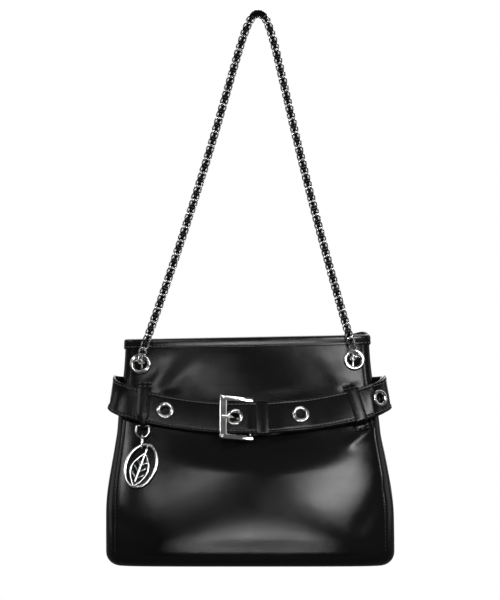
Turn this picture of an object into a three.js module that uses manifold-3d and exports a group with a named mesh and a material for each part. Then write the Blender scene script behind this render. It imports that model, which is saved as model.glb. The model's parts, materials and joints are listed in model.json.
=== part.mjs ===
// A shoulder bag of soft leather: a belt with a buckle goes round the body, the strap is a chain
// laced with leather, and a charm hangs from the left belt carrier.
// Millimetres, +Z up, the front faces -Y. The origin is the point from which the strap hangs.

import * as THREE from 'three';
import { mergeVertices } from 'three/addons/utils/BufferGeometryUtils.js';
import Module from 'manifold-3d';

const { Matrix4, Vector2, Vector3 } = THREE;
const { degToRad, lerp, smoothstep } = THREE.MathUtils;
const wasm = await Module();
wasm.setup();

// Clearances
const seatGap = 0.3; // between pieces that touch
const fuseDepth = 0.3; // how far neighbouring links of the chain run into each other
const beltGap = 1.3; // between the belt and the body
const layerGap = 1.6; // between two layers of the belt, room for the backs of its eyelets

// Body
const bodyHeight = 225;
const baseWidth = 287;
const mouthTaper = 42; // how much narrower the mouth is than the base
const baseDepth = 84;
const mouthDepth = 26;
const fullWidthHeight = 45; // up to here the body keeps its full width
const bottomRounding = 14;
const sectionPower = 4; // 2 is an ellipse, more is squarer
const mouthLean = 32; // the mouth's middle lies this far behind the base's
const mouthShift = -3; // and this far to the left
const mouthTilt = 4; // the right strap eyelet is this much higher than the left one
const leather = 2;
const facingThickness = 1.2;
const facingDepth = 48;
const liningThickness = 0.8;
const boardThickness = 2;
const boardMargin = 4;
const bindingThickness = 1;
const bindingDepth = 8;

// Strap eyelets, the links through them and their anchor bars
const strapEyeletInset = 15.5; // from the mouth's ends to the middles of the eyelets
const strapEyeletDepth = 23; // below the mouth's edge
const strapEyeletWidth = 21.5;
const strapEyeletBore = 12.6;
const strapEyeletDome = 2;
const eyeletWall = 0.7;
const washerThickness = 0.8;
const washerWidth = 20;
const anchorBarWidth = 3;
const anchorBarLength = 17;
const throughLinkReach = 8; // from the front of the leather to the link's front wire
const throughLinkRise = 2; // above the middle of the eyelet
const throughLinkWidth = 10.4;
const throughLinkNose = 0.6; // where its straight ends end, as a share of its half width

// Strap
const strapDrop = 344; // from the hanging point down to the eyelets
const strapOffset = 8; // the hanging point lies this far right of the body's middle
const wireWidth = 1.8;
const linkPitch = 7.1;
const linkWidth = 8.8;
const linkShoulder = 0.5; // where a link's straight sides end, as a share of its half length
const linkNose = 0.38; // and its straight ends, as a share of its half width
const apexHandle = 18.5; // how broadly the strap turns at the top
const runHandle = 285; // how gently each run of the strap sags
const runLeanLeft = 20; // degrees from upright at the lower end
const runLeanRight = 16.5;
const laceWidth = 3.8;
const laceThickness = 1.2;
const laceReach = 4.8; // how far the lace stands before or behind the chain's middle
const bareLinks = 2; // links without lace at each end

// Belt
const beltWidth = 33;
const beltThickness = 2;
const beltDrop = 58.5; // from the strap eyelets down to the belt's middle
const beltSideRise = 27;
const beltBackRise = 26;
const beltTilt = -2.5; // and this much lower at the right side, higher at the left
const beltSideSlack = 7; // how far the belt stands off the sides
const foldLength = 28; // of the end that is folded back round the buckle's bar
const foldFade = 28; // the way over which the belt then settles on the body
const foldTurn = 60; // degrees, how far round the bar the fold stays round
const tongueFade = 76; // the way over which the tongue climbs to the buckle
const tongueTail = 42; // beyond the last eyelet
const beltEyeletShares = [-0.244, 0, 0.23, 0.5226]; // of baseWidth, from the eyelet in use
const prongEyeletPlace = -15.6; // from the buckle's bar to the eyelet in use
const beltEyeletWidth = 17;
const beltEyeletBore = 9.6;
const beltEyeletDome = 1.3;
const beltEyeletBack = 15;
const eyeletRim = 0.4;
const keeperWidth = 12;
const keeperThickness = 1;
const keeperPlace = 12; // from the buckle's bar to the keeper's middle
const carrierWidth = 12;
const carrierThickness = 1.2;
const carrierTab = 7; // the sewn end of a carrier, beyond the belt's edge
const carrierNeck = 5; // the carrier's width where it holds the D-ring
const wrapStart = 30; // degrees round the D-ring's bar at which the neck starts to wrap it
const carrierFlare = 0.4; // how much wider a carrier's sewn ends are, on each side
const carrierBend = 0.9; // how much of a carrier's corner its bend takes
const ringCarrierInset = 3.5; // how much nearer the middle the carrier with the D-ring sits
const backCarrierPlace = 75; // from the middle of the back, on each side

// Buckle
const buckleBarPlace = 2; // right of the body's middle
const buckleReach = 31.5; // from the bar to the outer edge of the frame
const frontBarWidth = 7.3;
const armWidth = 5;
const frameThickness = 3.4;
const frameInset = 1; // between the belt's edges and the frame
const frameHeel = 2.6; // the arms' length behind the bar
const barWidth = 2.4;
const prongWidth = 2.2;
const prongEyeWall = 1;
const prongSlotWidth = 4;

// D-ring and charm
const ringWire = 2.2;
const dRingWidth = 15;
const dRingHeight = 14;
const charmLinkWire = 1.6;
const charmLinkLength = 15.8;
const charmLinkWidth = 7;
const charmLength = 48;
const charmWidth = 33;
const charmRim = 3;
const charmThickness = 2.4;
const charmLean = 17; // degrees, the top leans to the right
const charmRoom = 1; // between the charm and the body
const veinWidth = 1.6;
const leafWidth = 19;
const leafDrop = 7; // from the rim's top to the tip of the leaf
const veinShares = [-0.7, -0.2, 0.3]; // where side veins leave the midrib
const veinTurn = 40; // degrees up from level
const veinReach = 0.42; // of the leaf's width
const inlayDepth = 0.8; // the midrib's share of the charm's thickness

// Snap closure
const snapWidth = 16;
const snapThickness = 2.4;
const snapDepth = 24; // below the mouth's edge
const studWidth = 5;
const studHeight = 1.5;

// Facets
const girthColumns = 30; // round the whole body
const gussetColumns = 3; // from the side's middle to the gusset's seam
const eyeletSides = 14;
const smallSides = 12;
const wireSides = 6;
const ovalSides = 28;

// Finishes
const finish = (color, roughness, metalness) =>
  new THREE.MeshStandardMaterial({ color, roughness, metalness });
const glossLeather = finish(0x0b0b0c, 0.32, 0);
const innerLeather = finish(0x141414, 0.6, 0);
const liningCloth = finish(0x1c1b1d, 0.9, 0);
const fibreBoard = finish(0x4a3f33, 0.9, 0);
const nickel = finish(0xc9c9c6, 0.18, 1);

// Closed solids

function signedVolume(position, index) {
  const corners = [new Vector3(), new Vector3(), new Vector3()];
  let volume = 0;
  for (let i = 0; i < index.length; i += 3) {
    corners.forEach((corner, k) => corner.fromBufferAttribute(position, index[i + k]));
    volume += corners[0].dot(corners[1].cross(corners[2])) / 6;
  }
  return volume;
}

// Welds a geometry, drops collapsed triangles and turns its faces outwards.
function weld(geometry) {
  const bare = geometry.clone();
  bare.deleteAttribute('normal');
  bare.deleteAttribute('uv');
  const merged = mergeVertices(bare, 1e-4);
  const kept = [];
  const source = merged.index.array;
  for (let i = 0; i < source.length; i += 3) {
    const [a, b, c] = source.slice(i, i + 3);
    if (a !== b && b !== c && c !== a) kept.push(a, b, c);
  }
  if (signedVolume(merged.attributes.position, kept) < 0) kept.reverse();
  merged.setIndex(kept);
  return merged;
}

function toSolid(geometry) {
  const welded = weld(geometry);
  const mesh = new wasm.Mesh({
    numProp: 3,
    vertProperties: new Float32Array(welded.attributes.position.array),
    triVerts: new Uint32Array(welded.index.array),
  });
  return new wasm.Manifold(mesh);
}

function fromSolid(solid) {
  const mesh = solid.getMesh();
  const geometry = new THREE.BufferGeometry();
  geometry.setAttribute('position', new THREE.BufferAttribute(mesh.vertProperties, 3));
  geometry.setIndex(new THREE.BufferAttribute(mesh.triVerts, 1));
  return geometry;
}

function cut(geometry, tools) {
  const result = tools.reduce((solid, tool) => solid.subtract(toSolid(tool)), toSolid(geometry));
  return fromSolid(result);
}

function join(geometries) {
  const [first, ...others] = geometries.map(toSolid);
  return fromSolid(others.reduce((solid, other) => solid.add(other), first));
}

// Joins a row of closed sections of equal count into one solid, as a ring or with flat ends.
function loft(sections, ring = false) {
  const count = sections[0].length;
  const index = [];
  const spans = ring ? sections.length : sections.length - 1;
  for (let s = 0; s < spans; s += 1) {
    const here = s * count;
    const there = ((s + 1) % sections.length) * count;
    for (let k = 0; k < count; k += 1) {
      const next = (k + 1) % count;
      index.push(here + k, here + next, there + next, here + k, there + next, there + k);
    }
  }
  if (!ring) {
    const last = (sections.length - 1) * count;
    for (let k = 0; k < count / 2 - 1; k += 1) {
      const far = count - 1 - k;
      index.push(k + 1, k, far, k + 1, far, far - 1);
      index.push(last + k, last + k + 1, last + far - 1, last + k, last + far - 1, last + far);
    }
  }
  const geometry = new THREE.BufferGeometry();
  geometry.setFromPoints(sections.flat());
  geometry.setIndex(index);
  return geometry;
}

// Turns a profile of [radius, height] points round the Z axis.
function revolve(profile, sides) {
  const points = profile.map(([radius, height]) => new Vector2(radius, height));
  return new THREE.LatheGeometry(points, sides).rotateX(Math.PI / 2);
}

function drum(radius, low, high, sides) {
  return revolve([[0, low], [radius, low], [radius, high], [0, high]], sides);
}

function steps(from, to, count) {
  return Array.from({ length: count + 1 }, (_, i) => lerp(from, to, i / count));
}

const at = (frame, x, y, z) => new Vector3(x, y, z).applyMatrix4(frame);
const place = (geometry, frame) => geometry.applyMatrix4(frame);

// A round bar bent through points, each given with its own frame axes.
function bar(points, across, radius, sides, ring = false) {
  const sections = points.map((point, i) => {
    const before = points[ring ? (i + points.length - 1) % points.length : Math.max(i - 1, 0)];
    const after = points[ring ? (i + 1) % points.length : Math.min(i + 1, points.length - 1)];
    const along = after.clone().sub(before).normalize();
    const side = across.clone().addScaledVector(along, -across.dot(along)).normalize();
    const other = along.clone().cross(side);
    return steps(0, 2 * Math.PI, sides).slice(0, sides).map((angle) => point.clone()
      .addScaledVector(side, radius * Math.cos(angle))
      .addScaledVector(other, radius * Math.sin(angle)));
  });
  return loft(sections, ring);
}

// Heights and places that follow from the base and the mouth
const mouthWidth = baseWidth - mouthTaper;
const strapEyeletSpacing = mouthWidth - 2 * strapEyeletInset;
const strapEyeletHeight = bodyHeight - strapEyeletDepth;
const beltFrontHeight = strapEyeletHeight - beltDrop;
const frontCarrierPlace = strapEyeletSpacing / 2; // below the strap eyelets
const ringCarrierPlace = frontCarrierPlace - ringCarrierInset;

// The form of the body
// A point of the wall lies at an angle round the girth (front -90 degrees, right side 0),
// a way up the wall from the base's edge, and a distance outside the leather.

const roundingWay = bottomRounding * Math.PI / 2;
const wallWay = (height) => height - bottomRounding + roundingWay;

function bodySection(height) {
  const rise = smoothstep(height, 0, bodyHeight);
  const taper = smoothstep(height, fullWidthHeight, bodyHeight);
  return {
    halfWidth: lerp(baseWidth, mouthWidth, taper) / 2,
    halfDepth: lerp(baseDepth, mouthDepth, rise) / 2,
    middleX: mouthShift * rise,
    middleY: mouthLean * rise,
    slope: mouthTilt / strapEyeletSpacing * rise,
  };
}

function bodyPoint(angle, way, out) {
  const radius = bottomRounding + out;
  const bend = Math.min(way / bottomRounding, Math.PI / 2);
  const height = way < roundingWay
    ? bottomRounding - radius * Math.cos(bend)
    : bottomRounding + way - roundingWay;
  const grow = radius * Math.sin(bend) - bottomRounding;
  const section = bodySection(height);
  const c = Math.cos(angle);
  const s = Math.sin(angle);
  const swell = (Math.abs(c) ** sectionPower + Math.abs(s) ** sectionPower) ** (-1 / sectionPower);
  const x = (section.halfWidth + grow) * swell * c;
  const y = (section.halfDepth + grow) * swell * s;
  return new Vector3(section.middleX + x, section.middleY + y, height + section.slope * x);
}

// The angle at which the front of the wall lies this far right of the body's middle.
function frontAngle(x, height) {
  let left = -Math.PI;
  let right = 0;
  const { middleX } = bodySection(height);
  while (right - left > 1e-6) {
    const middle = (left + right) / 2;
    if (bodyPoint(middle, wallWay(height), 0).x - middleX < x) left = middle;
    else right = middle;
  }
  return left;
}

// Axes on a path over the wall: X along the path, Y up the wall, Z out of the leather.
function wallFrame(angle, heightAt) {
  const small = 1e-3;
  const pointAt = (a, lift) => bodyPoint(a, wallWay(heightAt(a)) + lift, 0);
  const along = pointAt(angle + small, 0).sub(pointAt(angle - small, 0)).normalize();
  const rise = pointAt(angle, small).sub(pointAt(angle, -small));
  const out = along.clone().cross(rise).normalize();
  const up = out.clone().cross(along);
  return new Matrix4().makeBasis(along, up, out).setPosition(pointAt(angle, 0));
}

// All layers of the wall share their rows and columns, so that they nest.
const girthStep = 2 * Math.PI / girthColumns;
const girthAngles = steps(0, 2 * Math.PI, girthColumns).slice(0, girthColumns);
const seamTurn = seatGap / mouthWidth; // half the gap at a seam, as an angle
const topWay = wallWay(bodyHeight);
const facingLow = wallWay(bodyHeight - facingDepth);
const bindingLow = topWay - bindingDepth;
const facingWays = [facingLow, wallWay(strapEyeletHeight), bindingLow, topWay];
const sackWays = steps(roundingWay, facingLow, 3);
const panelWays = [...steps(0, roundingWay, 3), ...sackWays.slice(1), ...facingWays.slice(1)];

// A panel of the wall between two columns, from an outer to an inner distance.
function wallPanel(fromColumn, toColumn, ways, outer, inner) {
  const angles = steps(fromColumn, toColumn, toColumn - fromColumn).map((column) => column * girthStep);
  angles[0] += seamTurn;
  angles[angles.length - 1] -= seamTurn;
  const sections = angles.map((angle) => {
    const outside = ways.map((way) => bodyPoint(angle, way, outer));
    const inside = ways.map((way) => bodyPoint(angle, way, inner));
    return [...outside, ...inside.reverse()];
  });
  return loft(sections);
}

function basePlate(margin, low, thickness) {
  const outline = girthAngles.map((angle) => {
    const { x, y } = bodyPoint(angle, 0, 0);
    return new Vector2(x, y);
  });
  const reach = new Vector2(baseWidth / 2 - bottomRounding, baseDepth / 2 - bottomRounding);
  const inset = new Vector2(1 - margin / reach.x, 1 - margin / reach.y);
  const shape = new THREE.Shape(outline.map((point) => point.multiply(inset)));
  const plate = new THREE.ExtrudeGeometry(shape, { depth: thickness, bevelEnabled: false });
  return plate.translate(0, 0, low);
}

// The lining is a sack with a flat floor above the board and its rim under the facing.
function liningSack(outer, floor) {
  const floorWay = bottomRounding * Math.acos((bottomRounding - floor) / (bottomRounding + outer));
  const ways = [floorWay, ...sackWays];
  ways[ways.length - 1] -= seatGap;
  const inner = outer - liningThickness;
  const middle = girthAngles.map((angle) => bodyPoint(angle, floorWay, outer))
    .reduce((sum, point) => sum.add(point), new Vector3())
    .divideScalar(girthColumns);
  const skin = (angle, out, lift) => [
    middle.clone().setZ(floor + lift),
    ...ways.map((way, i) => (i ? bodyPoint(angle, way, out) : floorPoint(angle, way, out, lift))),
  ];
  const floorPoint = (angle, way, out, lift) => {
    const point = bodyPoint(angle, way, outer);
    return point.lerp(middle, (outer - out + 2 * seatGap) / (baseDepth / 2)).setZ(floor + lift);
  };
  const sections = girthAngles.filter((_, column) => column % 2 === 0).map((angle) => [
    ...skin(angle, outer, 0),
    ...skin(angle, inner, liningThickness).reverse(),
  ]);
  return loft(sections, true);
}

// The rolled binding straddles the panel and the facing round the mouth.
function mouthBinding() {
  const outside = seatGap;
  const inside = -leather - facingThickness - 2 * seatGap;
  const low = bindingLow;
  const under = topWay + seatGap;
  const over = under + bindingThickness;
  const profile = [
    [low, outside + bindingThickness],
    [over, outside + bindingThickness / 2],
    [over, inside - bindingThickness / 2],
    [low, inside - bindingThickness],
    [low, inside],
    [under, inside],
    [under, outside],
    [low, outside],
  ];
  const sections = girthAngles
    .map((angle) => profile.map(([way, out]) => bodyPoint(angle, way, out)));
  return loft(sections, true);
}

// Strap eyelets

const stackDepth = leather + seatGap + facingThickness;
const strapEyeletAngle = (side) => frontAngle(side * strapEyeletSpacing / 2, strapEyeletHeight);
const strapEyeletFrame = (side) => wallFrame(strapEyeletAngle(side), () => strapEyeletHeight);

// How far the curved wall leaves its flat frame under an eyelet, below and above.
function wallSwing(side, radius) {
  const inverse = strapEyeletFrame(side).invert();
  const heights = steps(0, 2 * Math.PI, 8).map((turn) => {
    const x = side * strapEyeletSpacing / 2 + radius * Math.cos(turn);
    const height = strapEyeletHeight + radius * Math.sin(turn);
    return bodyPoint(frontAngle(x, height), wallWay(height), 0).applyMatrix4(inverse).z;
  });
  return [Math.min(...heights), Math.max(...heights)];
}

const [wallLow, wallHigh] = wallSwing(1, strapEyeletWidth / 2);
const eyeletFoot = wallHigh + 2 * seatGap;
const washerFront = -stackDepth + wallLow - 2 * seatGap;
const washerBack = washerFront - washerThickness;

// A set eyelet: a domed flange in front, a neck through the leather and a curled rim behind.
function eyeletRing(width, bore, dome, front, back, backWidth, sides) {
  const outer = width / 2;
  const inner = bore / 2;
  const neck = inner + eyeletWall;
  return revolve([
    [inner, back - eyeletRim],
    [backWidth / 2, back - eyeletRim],
    [backWidth / 2, back],
    [neck, back],
    [neck, front],
    [outer, front],
    [lerp(neck, outer, 0.6), front + dome],
    [inner, front + dome / 2],
    [inner, back - eyeletRim],
  ], sides);
}

function strapEyelet() {
  const rimWidth = strapEyeletBore + 4 * eyeletWall;
  return eyeletRing(strapEyeletWidth, strapEyeletBore, strapEyeletDome, eyeletFoot,
    washerBack - seatGap, rimWidth, eyeletSides);
}

function eyeletWasher() {
  const inner = strapEyeletBore / 2 + eyeletWall + seatGap;
  return revolve([
    [inner, washerBack],
    [washerWidth / 2, washerBack],
    [washerWidth / 2, washerFront],
    [inner, washerFront],
    [inner, washerBack],
  ], eyeletSides);
}

// The hole that an eyelet's neck needs in the leather.
function eyeletHole(bore, depth, sides) {
  return drum(bore / 2 + eyeletWall + seatGap, -depth, depth, sides);
}

// Chain links
// A link lies along Z. Its sides twist from one end to the other, so that all links of the chain
// show the same face and yet meet at right angles.

const linkCorners = (nose) => [
  [-1, -nose],
  [-1, nose],
  [-linkShoulder, 1],
  [linkShoulder, 1],
  [1, nose],
  [1, -nose],
  [linkShoulder, -1],
  [-linkShoulder, -1],
];

function twistedLink(halfLength, halfWidth, wire, startTurn, endTurn, nose = linkNose) {
  const corners = linkCorners(nose);
  const turnAt = (along) => degToRad(lerp(startTurn, endTurn, (along + 1) / 2));
  const centres = corners.map(([along, side]) => {
    const turn = turnAt(along);
    const reach = halfWidth * side;
    return new Vector3(reach * Math.cos(turn), reach * Math.sin(turn), halfLength * along);
  });
  const count = centres.length;
  const sections = centres.map((centre, i) => {
    const along = centres[(i + 1) % count].clone().sub(centres[(i + count - 1) % count]).normalize();
    const turn = turnAt(corners[i][0]);
    const face = new Vector3(-Math.sin(turn), Math.cos(turn), 0);
    const outward = along.clone().cross(face).normalize();
    const across = outward.clone().cross(along);
    const radius = wire / 2;
    return [[1, 0], [0, 1], [-1, 0], [0, -1]].map(([o, a]) => centre.clone()
      .addScaledVector(outward, o * radius)
      .addScaledVector(across, a * radius));
  });
  return loft(sections, true);
}

const anchorDepth = washerBack - seatGap - eyeletRim - seatGap - anchorBarWidth / 2;
const throughLinkEnd = anchorDepth - anchorBarWidth / 2 - seatGap - wireWidth / 2;

function throughLink() {
  const middle = (throughLinkReach + throughLinkEnd) / 2;
  const halfLength = (throughLinkReach - throughLinkEnd) / 2;
  const halfWidth = (throughLinkWidth - wireWidth) / 2;
  return twistedLink(halfLength, halfWidth, wireWidth, 0, 0, throughLinkNose)
    .translate(0, throughLinkRise, middle);
}

function anchorBar() {
  const ends = [-1, 1].map((side) => new Vector3(0, side * anchorBarLength / 2, anchorDepth));
  return bar(ends, new Vector3(0, 0, 1), anchorBarWidth / 2, wireSides);
}

// The strap's two runs, from the top down to the links through the eyelets

const hingeLocal = (side) => at(strapEyeletFrame(side), 0, throughLinkRise, throughLinkReach);
const bagPlace = new Vector3(
  -strapOffset,
  -(hingeLocal(-1).y + hingeLocal(1).y) / 2,
  -strapDrop - strapEyeletHeight,
);
const runShift = fuseDepth / 2 + seatGap;

function strapRun(side) {
  const lean = degToRad(side < 0 ? runLeanLeft : runLeanRight);
  const down = new Vector3(side * Math.sin(lean), 0, -Math.cos(lean));
  const hang = wireWidth / 2 + fuseDepth / 2 + seatGap + runShift;
  const end = hingeLocal(side).add(bagPlace).addScaledVector(down, hang);
  const top = new Vector3(0, 0, linkWidth / 2);
  const curve = new THREE.CubicBezierCurve3(
    top,
    top.clone().add(new Vector3(side * apexHandle, 0, 0)),
    end.clone().addScaledVector(down, -runHandle),
    end,
  );
  curve.arcLengthDivisions = 800;
  const length = curve.getLength();
  const count = Math.round(length / linkPitch);
  return { curve, length, count, pitch: length / count };
}

// Axes on the strap: Z down the run, Y to the back.
function runFrame(run, way) {
  const share = Math.min(Math.max(way / run.length, 0), 1);
  const along = run.curve.getTangentAt(share);
  const back = new Vector3(0, 1, 0);
  const side = back.clone().cross(along).normalize();
  const depth = along.clone().cross(side);
  return new Matrix4().makeBasis(side, depth, along).setPosition(run.curve.getPointAt(share));
}

function chainRun(run) {
  const halfLength = (run.pitch + wireWidth - fuseDepth) / 2;
  const halfWidth = (linkWidth - wireWidth) / 2;
  const links = steps(0, run.count - 1, run.count - 1).map((k) => {
    const lowerTurn = k === run.count - 1 ? -90 : 45;
    const frame = runFrame(run, (k + 0.5) * run.pitch - runShift);
    return place(twistedLink(halfLength, halfWidth, wireWidth, -45, lowerTurn), frame);
  });
  return join(links);
}

// The lace stays before the links at the top, then goes behind one meeting and before the next.
function laceStations(run) {
  const stations = [];
  for (let meeting = 0; meeting <= run.count - bareLinks; meeting += 1) {
    const reach = laceReach * (meeting === 0 || meeting % 2 ? -1 : 1);
    stations.push({ frame: runFrame(run, meeting * run.pitch - runShift), reach });
  }
  return stations;
}

function strapLace(left, right) {
  const mirrored = laceStations(left).reverse().map((station) => ({ ...station, side: -1 }));
  const onward = laceStations(right).slice(1).map((station) => ({ ...station, side: 1 }));
  const stations = [...mirrored, ...onward];
  const points = stations.map(({ frame, reach }) => at(frame, 0, reach, 0));
  const sections = stations.map(({ frame, side }, i) => {
    const before = points[Math.max(i - 1, 0)];
    const after = points[Math.min(i + 1, points.length - 1)];
    const along = after.clone().sub(before).normalize();
    const wide = new Vector3().setFromMatrixColumn(frame, 0).multiplyScalar(side);
    const thick = along.clone().cross(wide).normalize();
    return [[1, 1], [-1, 1], [-1, -1], [1, -1]].map(([w, t]) => points[i].clone()
      .addScaledVector(wide, w * laceWidth / 2)
      .addScaledVector(thick, t * laceThickness / 2));
  });
  return loft(sections);
}

// The belt starts at the buckle's bar, goes round the body by the right, and its tongue comes
// back from the left, through the buckle and over the belt's own start.

function beltHeight(angle) {
  const c = Math.cos(angle);
  const back = Math.max(0, Math.sin(angle));
  return beltFrontHeight + beltSideRise * c * c + beltTilt * c + beltBackRise * back * back;
}

const beltFrame = (angle) => wallFrame(angle, beltHeight);
const beltStandoff = (angle) => beltGap + beltSideSlack * Math.cos(angle) ** 2;
const barAngle = frontAngle(buckleBarPlace, beltFrontHeight);
const barRoom = barWidth / 2 + seatGap;
const foldLift = beltThickness + 2 * barRoom;
const keeperLift = beltThickness + keeperThickness + 2 * seatGap;
const layerLift = beltThickness + layerGap;

// A height that changes along straight stretches between [way, height] stops.
function along(stops, way) {
  const next = stops.findIndex(([stop]) => way < stop);
  if (next === 0) return stops[0][1];
  if (next < 0) return stops[stops.length - 1][1];
  const [fromWay, from] = stops[next - 1];
  const [toWay, to] = stops[next];
  return lerp(from, to, (way - fromWay) / (toWay - fromWay));
}

const beltStartStops = [
  [0, foldLift],
  [keeperPlace - keeperWidth / 2 - seatGap, keeperLift],
  [Math.max(foldLength, keeperPlace + keeperWidth / 2 + seatGap) + beltThickness, keeperLift],
  [foldLength + foldFade, 0],
];
const wayFromBar = (angle) => bodyPoint(angle, wallWay(beltHeight(angle)), 0).x
  - bodyPoint(barAngle, wallWay(beltHeight(barAngle)), 0).x;

function startLift(angle) {
  return Math.sin(angle) < 0 ? along(beltStartStops, wayFromBar(angle)) : 0;
}

function tongueLift(angle) {
  const way = Math.sin(angle) < 0 ? wayFromBar(angle) : Infinity;
  if (way >= 0) return startLift(angle) + layerLift;
  return (foldLift + layerLift) * Math.max(0, 1 + way / tongueFade) ** 1.5;
}

const beltMiddle = (angle, lift) => beltStandoff(angle) + beltThickness / 2 + lift;
const tongueMiddle = (angle) => beltMiddle(angle, tongueLift(angle));

// The angle that lies a way along the tongue from another angle.
function tongueAngle(from, way) {
  const step = degToRad(0.25) * Math.sign(way);
  const pointAt = (angle) => at(beltFrame(angle), 0, 0, tongueMiddle(angle));
  let angle = from;
  let gone = 0;
  let here = pointAt(angle);
  while (gone < Math.abs(way)) {
    angle += step;
    const there = pointAt(angle);
    gone += here.distanceTo(there);
    here = there;
  }
  return angle;
}

const prongEyeletAngle = frontAngle(buckleBarPlace + prongEyeletPlace, beltFrontHeight);
const beltEyeletAngles = beltEyeletShares
  .map((share) => tongueAngle(prongEyeletAngle, share * baseWidth));
const tongueEnd = tongueAngle(beltEyeletAngles[beltEyeletAngles.length - 1], tongueTail);

// The tongue lies flat under each eyelet, and the belt bends at the edges of these flats.
const flatReach = beltEyeletWidth / 2 + seatGap;
const eyeletFlats = beltEyeletAngles.map((angle) => [-flatReach, flatReach]
  .map((way) => tongueAngle(angle, way)));

function flatAxes(start, end, rise) {
  const along = end.clone().sub(start).normalize();
  const out = along.clone().cross(rise).normalize();
  return new Matrix4().makeBasis(along, out.clone().cross(along), out);
}

// The belt's axes at a bend: those of the wall, or of the whole flat at a flat's edges.
function bendFrame(angle) {
  const flat = eyeletFlats.find((edges) => edges.includes(angle));
  if (!flat) return beltFrame(angle);
  const [start, end] = flat.map((edge) => at(beltFrame(edge), 0, 0, 0));
  const rise = flat.map((edge) => new Vector3().setFromMatrixColumn(beltFrame(edge), 1))
    .reduce((sum, up) => sum.add(up));
  const way = angle === flat[0] ? -flatReach : flatReach;
  const middle = flatAxes(start, end, rise).setPosition(start.lerp(end, 0.5));
  return middle.multiply(new Matrix4().makeTranslation(way, 0, 0));
}

function flatFrame(flat) {
  const [start, end] = flat.map((edge) => at(bendFrame(edge), 0, 0, tongueMiddle(edge)));
  const rise = new Vector3().setFromMatrixColumn(bendFrame(flat[0]), 1);
  return flatAxes(start, end, rise).setPosition(start.lerp(end, 0.5));
}

// Where the belt bends on the front: at its stops, at its flats, and with the wall's columns.
function beltBends() {
  const stops = beltStartStops.map(([way]) => frontAngle(buckleBarPlace + way, beltFrontHeight));
  const fixed = [...stops, ...eyeletFlats.flat()];
  const columns = steps(-Math.PI, 0, girthColumns)
    .filter((angle) => fixed.every((other) => Math.abs(other - angle) > girthStep / 6));
  return [...fixed, ...columns]
    .filter((angle) => !eyeletFlats.some(([from, to]) => angle > from && angle < to))
    .sort((a, b) => a - b);
}

function beltSection(frame, low, high) {
  const half = beltWidth / 2;
  return [[-half, high], [half, high], [half, low], [-half, low]].map(([y, z]) => at(frame, 0, y, z));
}

const barOut = beltMiddle(barAngle, 0) + beltThickness / 2 + barRoom;
const barFrame = beltFrame(barAngle).multiply(new Matrix4().makeTranslation(0, 0, barOut));

function beltStrap() {
  const half = beltThickness / 2;
  const layer = (angle, middle, face) => beltSection(bendFrame(angle), middle - face, middle + face);
  const foldEnd = frontAngle(buckleBarPlace + foldLength, beltFrontHeight);
  const folded = steps(foldEnd, barAngle, 3)
    .map((angle) => layer(angle, beltMiddle(angle, 0), -half));
  const radius = barRoom + half;
  const turn = steps(-foldTurn, foldTurn, 4).map((degrees) => {
    const c = Math.cos(degToRad(degrees));
    const s = Math.sin(degToRad(degrees));
    const edge = beltWidth / 2;
    return [[-edge, half], [edge, half], [edge, -half], [-edge, -half]].map(([y, face]) =>
      at(barFrame, -(radius + face) * c, y, (radius + face) * s));
  });
  const bends = beltBends();
  const startAngles = bends.filter((angle) => angle >= barAngle && angle <= 0);
  const backAngles = steps(0, Math.PI, girthColumns / 2).slice(1);
  const tongueAngles = [...bends.slice(1), ...backAngles]
    .filter((angle) => angle < tongueEnd - girthStep / 6);
  const sections = [
    ...folded,
    ...turn,
    ...[...startAngles, ...backAngles].map((angle) =>
      layer(angle, beltMiddle(angle, startLift(angle)), half)),
    ...[...tongueAngles, tongueEnd].map((angle) => layer(angle, tongueMiddle(angle), half)),
  ];
  const slot = new THREE.BoxGeometry(4 * foldLift, prongSlotWidth + 2 * seatGap, 2 * foldLift);
  const holeDepth = beltThickness / 2 + layerGap / 2;
  const holes = eyeletFlats.map((flat) =>
    place(eyeletHole(beltEyeletBore, holeDepth, smallSides), flatFrame(flat)));
  return cut(loft(sections), [place(slot, barFrame), ...holes]);
}

function beltEyelet(flat) {
  const foot = beltThickness / 2 + seatGap;
  const ring = eyeletRing(beltEyeletWidth, beltEyeletBore, beltEyeletDome, foot,
    -foot, beltEyeletBack, smallSides);
  return place(ring, flatFrame(flat));
}

// A band of leather through [up, out, half width] stops in the axes of the belt.
function strip(frame, stops, thickness) {
  const sections = stops.map(([up, out, half], i) => {
    const [beforeUp, beforeOut] = stops[Math.max(i - 1, 0)];
    const [afterUp, afterOut] = stops[Math.min(i + 1, stops.length - 1)];
    const way = new Vector2(afterUp - beforeUp, afterOut - beforeOut).normalize();
    const side = new Vector2(-way.y, way.x).multiplyScalar(thickness / 2);
    return [
      at(frame, -half, up + side.x, out + side.y),
      at(frame, half, up + side.x, out + side.y),
      at(frame, half, up - side.x, out - side.y),
      at(frame, -half, up - side.x, out - side.y),
    ];
  });
  return loft(sections);
}

// How far the wall stands out of the belt's flat frame, at a way up or down from the belt's middle.
function wallRelief(frame, angle, up) {
  const inverse = frame.clone().invert();
  const heightHere = beltHeight(angle) + up;
  return bodyPoint(angle, wallWay(heightHere), 0).applyMatrix4(inverse).z;
}

const carrierSeat = 2 * seatGap + carrierThickness / 2;
const beltEdge = beltWidth / 2 + carrierSeat;

function carrierTop(frame, angle, over, edge) {
  const half = carrierWidth / 2;
  const ground = (up) => wallRelief(frame, angle, up) + carrierSeat + seatGap;
  return [
    [edge + carrierTab, ground(edge + carrierTab), half + carrierFlare],
    [edge + carrierThickness, ground(edge + carrierThickness), half + carrierFlare / 2],
    [edge, over - carrierBend, half],
    [edge - carrierBend, over, half],
  ];
}

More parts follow.
